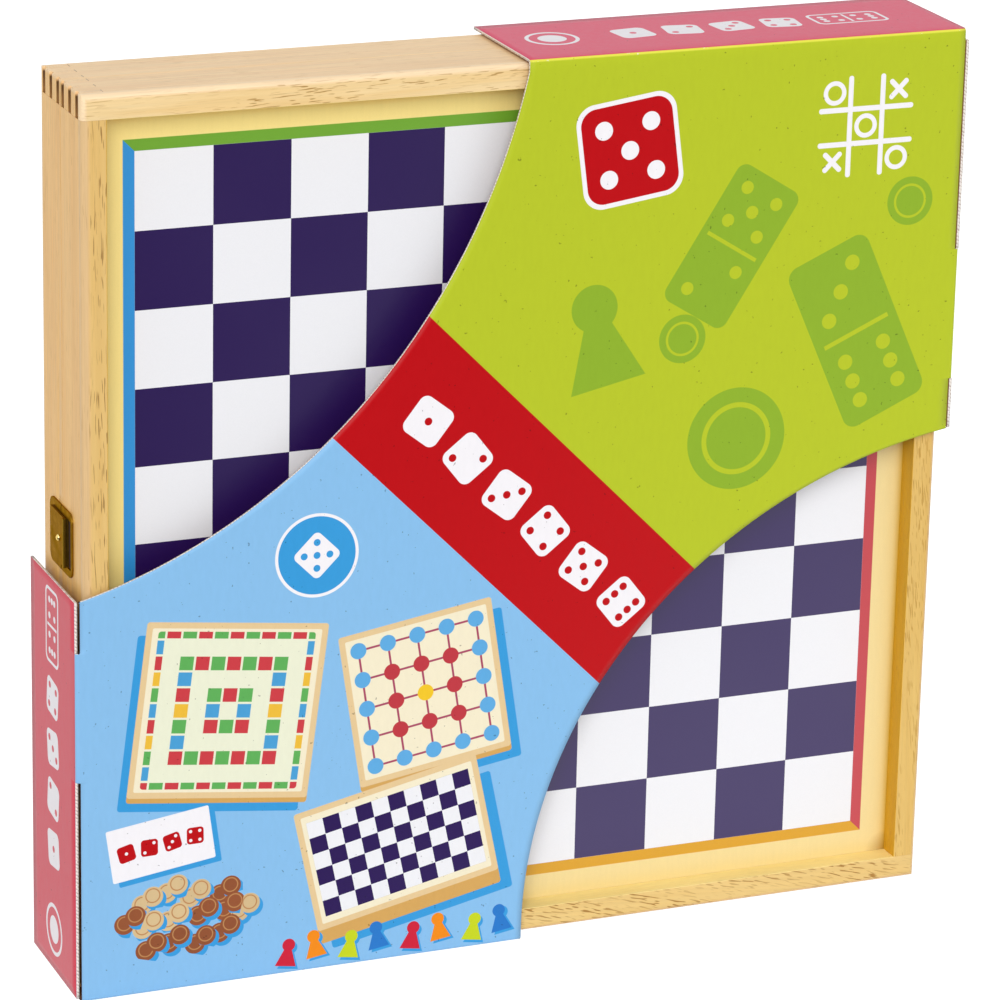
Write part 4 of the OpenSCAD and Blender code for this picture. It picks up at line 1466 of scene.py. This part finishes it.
@dataclass
class CardSleeve:
    """The folded card sleeve as one sheet with round folds, slits and two curved cut-outs."""

    thickness: float = 0.9
    fold: float = 1.2
    upper_axes: tuple[float, float] = (193.5, 208.5)
    lower_axes: tuple[float, float] = (175.5, 159.0)
    left_joined: tuple[float, float] = (74.0, 116.5)
    right_joined: tuple[float, float] = (177.0, 220.5)
    bow: float = 0.45
    slit_panel: float = 147.0
    slit_left_y: float = 0.8
    slit_right_y: float = 0.3
    row_pitch: float = 3.0
    least_pitch: float = 0.08
    close_rows: int = 26
    close_reach: float = 24.0
    slit_end: float = 0.25
    columns: int = 64
    fold_steps: int = 5
    flap_steps: int = 10
    right_steps: int = 3

    def __post_init__(self) -> None:
        """Reads the sleeve's corners from the frame, in millimetres."""
        low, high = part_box("sleeve_front_panel")
        left_low, left_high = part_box("sleeve_left_flap")
        right_low, right_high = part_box("sleeve_right_flap")
        self.half = high.x / MM
        self.front = low.y / MM
        self.top = high.z / MM
        self.back = left_high.y / MM
        self.left_top = left_high.z / MM
        self.foot_clear = left_low.z / MM
        self.right_low = right_low.z / MM
        self.right_back = right_high.y / MM
        self.top_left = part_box("sleeve_top_flap")[0].x / MM
        self.foot_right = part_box("sleeve_foot_flap")[1].x / MM

    @staticmethod
    def ellipse_centre(
        p: tuple[float, float], q: tuple[float, float], axes: tuple[float, float]
    ) -> np.ndarray:
        """Centre of the ellipse with given half axes through two points.

        With both axes scaled away, the ellipse is a circle of radius 1. Its centre lies on
        the left of the way from p to q, at the root of 1 less the squared half chord from
        the chord's middle.

        Args:
            p: First point.
            q: Second point.
            axes: Half width and half height.

        Returns:
            The centre.
        """
        first, second, scale = np.array(p), np.array(q), np.array(axes)
        half = (second - first) / 2 / scale
        chord = np.linalg.norm(half)
        away = math.sqrt(1 - chord**2) / chord
        return (first + second) / 2 + np.array((-half[1], half[0])) * away * scale

    def cut_x(self, z: np.ndarray, upper: bool) -> np.ndarray:
        """X of a curved cut at heights z: the centre's x plus or less a root of 1 - t * t.

        Args:
            z: Heights.
            upper: True for the upper left cut, False for the lower right one.

        Returns:
            X of the cut at each height.
        """
        if upper:
            axes, sign = self.upper_axes, 1.0
            ends = (-self.half, self.left_top), (self.top_left, self.top)
        else:
            axes, sign = self.lower_axes, -1.0
            ends = (self.half, self.right_low), (self.foot_right, 0.0)
        centre = self.ellipse_centre(*ends, axes)
        t = np.clip((z - centre[1]) / axes[1], -1, 1)
        return centre[0] + sign * axes[0] * np.sqrt(1 - t**2)

    def levels(self) -> np.ndarray:
        """Heights of the panel's rows: even steps, closer ones at the cuts' flat ends."""
        low, high = self.fold, self.top - self.fold
        ends = [*self.left_joined, *self.right_joined]
        keys = [*ends, self.left_top, self.right_low, low, high]
        even = np.arange(low, high, self.row_pitch)
        near = np.linspace(0, 1, self.close_rows) ** 2 * self.close_reach
        slits = np.add.outer((-self.slit_end, self.slit_end), ends).ravel()
        rows = np.concatenate((even, keys, self.left_top + near, self.right_low - near, slits))
        rows = np.unique(np.round(rows, 3))
        rows = rows[(rows >= low) & (rows <= high)]
        keep = np.isin(rows, np.round(keys, 3))
        keep[0] = True
        keep[1:] |= np.diff(rows) > self.least_pitch
        return rows[keep]

    def flap_profile(self, back: float, steps: int) -> tuple[np.ndarray, np.ndarray]:
        """A fold and its flap in section: a quarter circle and then a straight.

        Args:
            back: Y of the flap's end.
            steps: Steps along the flap.

        Returns:
            How far each column lies past the fold line, and its y.
        """
        turn = np.linspace(0, math.pi / 2, self.fold_steps + 1)[1:]
        start = self.front + self.fold
        flap = np.linspace(start, back, steps + 1)[1:]
        past = np.concatenate((self.fold * np.sin(turn), np.full(steps, self.fold)))
        return past, np.concatenate((start - self.fold * np.cos(turn), flap))

    def sheet(self) -> bpy.types.Mesh:
        """Builds the outer face of the sheet as one masked grid.

        A column is a place across the sheet: left flap, left fold, panel, right fold, right
        flap. A row is a place up the sheet: foot flap, foot fold, panel, top fold, top flap.
        Cells outside the die-cut shape are left out. Beside a slit the panel ends a little
        short of the fold line, and the flap reaches a little further forward.

        Returns:
            The mesh.
        """
        inset = self.half - self.fold
        levels = self.levels()
        beside_left, beside_right = levels <= self.left_top, levels >= self.right_low
        slit_left = beside_left & self.outside(levels, self.left_joined)
        slit_right = beside_right & self.outside(levels, self.right_joined)
        left = np.where(beside_left, -inset, np.maximum(self.cut_x(levels, True), -inset))
        right = np.where(beside_right, inset, np.minimum(self.cut_x(levels, False), inset))
        left[slit_left] = -self.slit_panel
        right[slit_right] = self.slit_panel

        past, depth = self.flap_profile(self.back, self.flap_steps)
        row_z = np.concatenate((self.fold - past[::-1], levels, self.top - self.fold + past))
        row_y = np.concatenate((depth[::-1], np.full(len(levels), self.front), depth))
        on_panel = slice(len(past), len(past) + len(levels))

        def columns(xs: np.ndarray, ys: np.ndarray) -> np.ndarray:
            """Columns of points at xs and ys, on every row."""
            return np.stack(np.broadcast_arrays(xs, ys, row_z[:, None]), axis=-1)

        left, right = (np.pad(ends, len(past), "edge")[:, None] for ends in (left, right))
        panel_x = left + (right - left) * np.linspace(0, 1, self.columns + 1)
        panel = columns(panel_x, row_y[:, None])
        across = np.cos(panel_x * math.pi / (2 * self.half))
        sag = across * np.sin(row_z * math.pi / self.top)[:, None]
        panel[on_panel, :, 1] += self.bow * np.clip(sag[on_panel], 0, 1)

        left_wing = columns(-inset - past[::-1], depth[::-1])
        past, depth = self.flap_profile(self.right_back, self.right_steps)
        right_wing = columns(inset + past, depth)
        left_wing[on_panel][slit_left, self.flap_steps, 1] = self.front + self.slit_left_y
        right_wing[on_panel][slit_right, self.fold_steps - 1, 1] = self.front + self.slit_right_y
        grid = np.concatenate((left_wing, panel, right_wing), axis=1)
        return self.masked_grid(grid, self.kept_cells(row_z))

    @staticmethod
    def outside(levels: np.ndarray, joined: tuple[float, float]) -> np.ndarray:
        """Which levels lie in the slits of a fold, above or below its joined stretch."""
        return (levels < joined[0] - 0.01) | (levels > joined[1] + 0.01)

    def kept_cells(self, row_z: np.ndarray) -> np.ndarray:
        """Which cells of the grid are card.

        Args:
            row_z: Height of each row.

        Returns:
            A mask with one value for each cell.
        """
        ahead = self.flap_steps + self.fold_steps
        z = (row_z[1:] + row_z[:-1]) / 2
        on_panel = np.zeros(len(z), bool)
        on_panel[ahead:-ahead] = True

        def wing(low: float, high: float, count: int) -> np.ndarray:
            """Cells of a fold or a flap, which are card from one height to the other."""
            kept = on_panel & (z > low) & (z < high)
            return np.repeat(kept[:, None], count, axis=1)

        return np.hstack((
            wing(self.foot_clear, self.left_top, self.flap_steps),
            wing(*self.left_joined, self.fold_steps),
            np.ones((len(z), self.columns), bool),
            wing(*self.right_joined, self.fold_steps),
            wing(self.right_low, self.top - self.foot_clear, self.right_steps),
        ))

    @staticmethod
    def masked_grid(grid: np.ndarray, keep: np.ndarray) -> bpy.types.Mesh:
        """Makes a mesh of the kept cells of a grid of points in millimetres.

        Args:
            grid: Points, by row and column.
            keep: Mask of the cells, by row and column.

        Returns:
            The mesh, with no unused points.
        """
        rows, columns = grid.shape[:2]
        index = np.arange(rows * columns).reshape(rows, columns)
        corners = (index[:-1, :-1], index[:-1, 1:], index[1:, 1:], index[1:, :-1])
        faces = np.stack(corners, axis=-1)[keep]
        used, packed = np.unique(faces, return_inverse=True)
        mesh = bpy.data.meshes.new("printed_sleeve")
        points = grid.reshape(-1, 3)[used] * MM
        mesh.from_pydata(points.tolist(), [], packed.reshape(faces.shape).tolist())
        mesh.polygons.foreach_set("use_smooth", [True] * len(mesh.polygons))
        mesh.update()
        return mesh

    def build(self) -> None:
        """Makes the sleeve and dresses it."""
        mesh = self.sheet()
        ink = SleevePrint("sleeve_print", self.half, self.front, self.top, self.fold)
        inside = Kraft("sleeve_inside")
        edge = CutEdge("sleeve_cut_edge", self.half)
        for finish in (ink, inside, edge):
            mesh.materials.append(finish.material())
        piece = placed("printed_sleeve", mesh)
        wall = piece.modifiers.new("card", "SOLIDIFY")
        wall.thickness = self.thickness * MM
        wall.offset = -1.0
        wall.material_offset = 1
        wall.material_offset_rim = 2
        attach(piece, "card_sleeve")
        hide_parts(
            "sleeve_front_panel", "sleeve_left_flap", "sleeve_right_flap",
            "sleeve_top_flap", "sleeve_foot_flap",
        )
        LOG.info("card sleeve: one folded sheet of %d faces", len(mesh.polygons))


# ---- Studio --------------------------------------------------------------------------------


@dataclass
class Studio:
    """Pale floor, soft light and the camera."""

    camera_place: tuple[float, float, float] = (-558.963, -1366.991, 639.396)
    right: tuple[float, float, float] = (0.92664398, -0.37529013, 0.02209657)
    down: tuple[float, float, float] = (-0.09563927, -0.29217398, -0.95157107)
    forward: tuple[float, float, float] = (0.36357127, 0.8796543, -0.30663373)
    focal_pixels: float = 4869.92
    principal: tuple[float, float] = (517.36, 440.05)
    image_side: float = 1000.0
    sensor: float = 36.0
    sky_light: float = 0.51
    key_light: float = 0.56
    key_spread: float = 38.0
    key_towards: tuple[float, float, float] = (0.36, 0.80, -0.50)
    floor_reach: float = 12.0

    def build(self) -> None:
        """Makes the floor, the lights and the camera."""
        self.floor()
        self.world()
        self.lights()
        self.camera()
        LOG.info("studio: floor, light and camera")

    def floor(self) -> None:
        """White floor that stays white to the camera and keeps the soft shadow.

        Glossy rays see it glow as a painted reflection in the lacquer, brightest to the near right
        of the box, white behind the box and dark far in front.
        """
        n = Nodes("floor_paper")
        seen, glossy = n.rays("Camera"), n.rays("Glossy", "Transmission")
        paper = n.add("ShaderNodeBsdfDiffuse", None, {"Color": (0.82, 0.82, 0.82, 1.0)})
        bright = n.add("ShaderNodeEmission", None, {"Strength": 1.5})
        white = n.add("ShaderNodeMixShader", None, {0: 0.68, 1: paper, 2: bright})
        x, y, _ = n.place()
        # Glow seen only in reflections: a painted reflection on the lacquer.
        near = (x * 1.2 + y).above(-210.0, 260.0) * 2.0 + 0.12
        behind = y.above(0.0, 120.0)
        reflection_glow = n.add("ShaderNodeEmission", None, {"Strength": near + behind * (1.05 - near)})
        shader = n.add("ShaderNodeMixShader", None, {0: seen, 1: paper, 2: white})
        n.add_output(n.add("ShaderNodeMixShader", None, {0: glossy, 1: shader, 2: reflection_glow}))
        signs = ((-1, -1), (1, -1), (1, 1), (-1, 1))
        corners = [(u * self.floor_reach, v * self.floor_reach, 0.0) for u, v in signs]
        flat_piece("floor", corners, n.owner)

    def world(self) -> None:
        """White surround, dimmer for the light that it sheds."""
        n = Nodes("studio", world=True)
        bpy.context.scene.world = n.owner
        shed, shown = (
            n.add("ShaderNodeBackground", None, {"Color": WHITE, "Strength": strength})
            for strength in (self.sky_light, 1.0)
        )
        share = n.rays("Camera", "Glossy", "Transmission")
        n.add_output(n.add("ShaderNodeMixShader", None, {0: share, 1: shed, 2: shown}))

    def lights(self) -> None:
        """One broad key from the front left and above."""
        lamp = bpy.data.lights.new("key", "SUN")
        lamp.energy = self.key_light * math.pi
        lamp.angle = math.radians(self.key_spread)
        towards = Vector(self.key_towards).normalized()
        placed("key", lamp).rotation_euler = towards.to_track_quat("-Z", "Y").to_euler()

    def camera(self) -> None:
        """Camera at the photograph's place, with its lens and its shift."""
        data = bpy.data.cameras.new("camera")
        data.sensor_width = self.sensor
        data.lens = self.focal_pixels * self.sensor / self.image_side
        middle = self.image_side / 2
        data.shift_x = (middle - self.principal[0]) / self.image_side
        data.shift_y = (self.principal[1] - middle) / self.image_side
        data.clip_start = 0.05
        data.clip_end = 60.0
        camera = placed("camera", data)
        axes = Matrix((self.right, [-v for v in self.down], [-v for v in self.forward])).transposed()
        camera.matrix_world = Matrix.Translation(Vector(self.camera_place) * MM) @ axes.to_4x4()
        bpy.context.scene.camera = camera


def board_middle(node: str) -> tuple[float, float]:
    """Y and Z of the middle of a board, in millimetres."""
    low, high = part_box(node)
    return (low.y + high.y) / 2 / MM, (low.z + high.z) / 2 / MM


def main() -> None:
    """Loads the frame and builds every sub-assembly in order."""
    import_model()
    scene = bpy.context.scene
    scene.view_settings.view_transform = "Standard"
    Studio().build()
    front_y, front_z = board_middle("front_board")
    back_y, back_z = board_middle("back_board")
    draughts = DraughtsPrint(centre=(-1.0, -0.2))
    front = BoardPanel("draughts_and_track", draughts, TrackPrint(), front_y, front_z, -1.0)
    back = BoardPanel("race_and_mill", RacePrint(), MillPrint(), back_y, back_z, 1.0)
    WoodenTray("front", "front_tray", front).build()
    WoodenTray("back", "back_tray", back).build()
    Hardware().build()
    Games().build()
    CardSleeve().build()


if __name__ == "__main__":
    logging.basicConfig(level=logging.INFO, format="%(message)s")
    main()
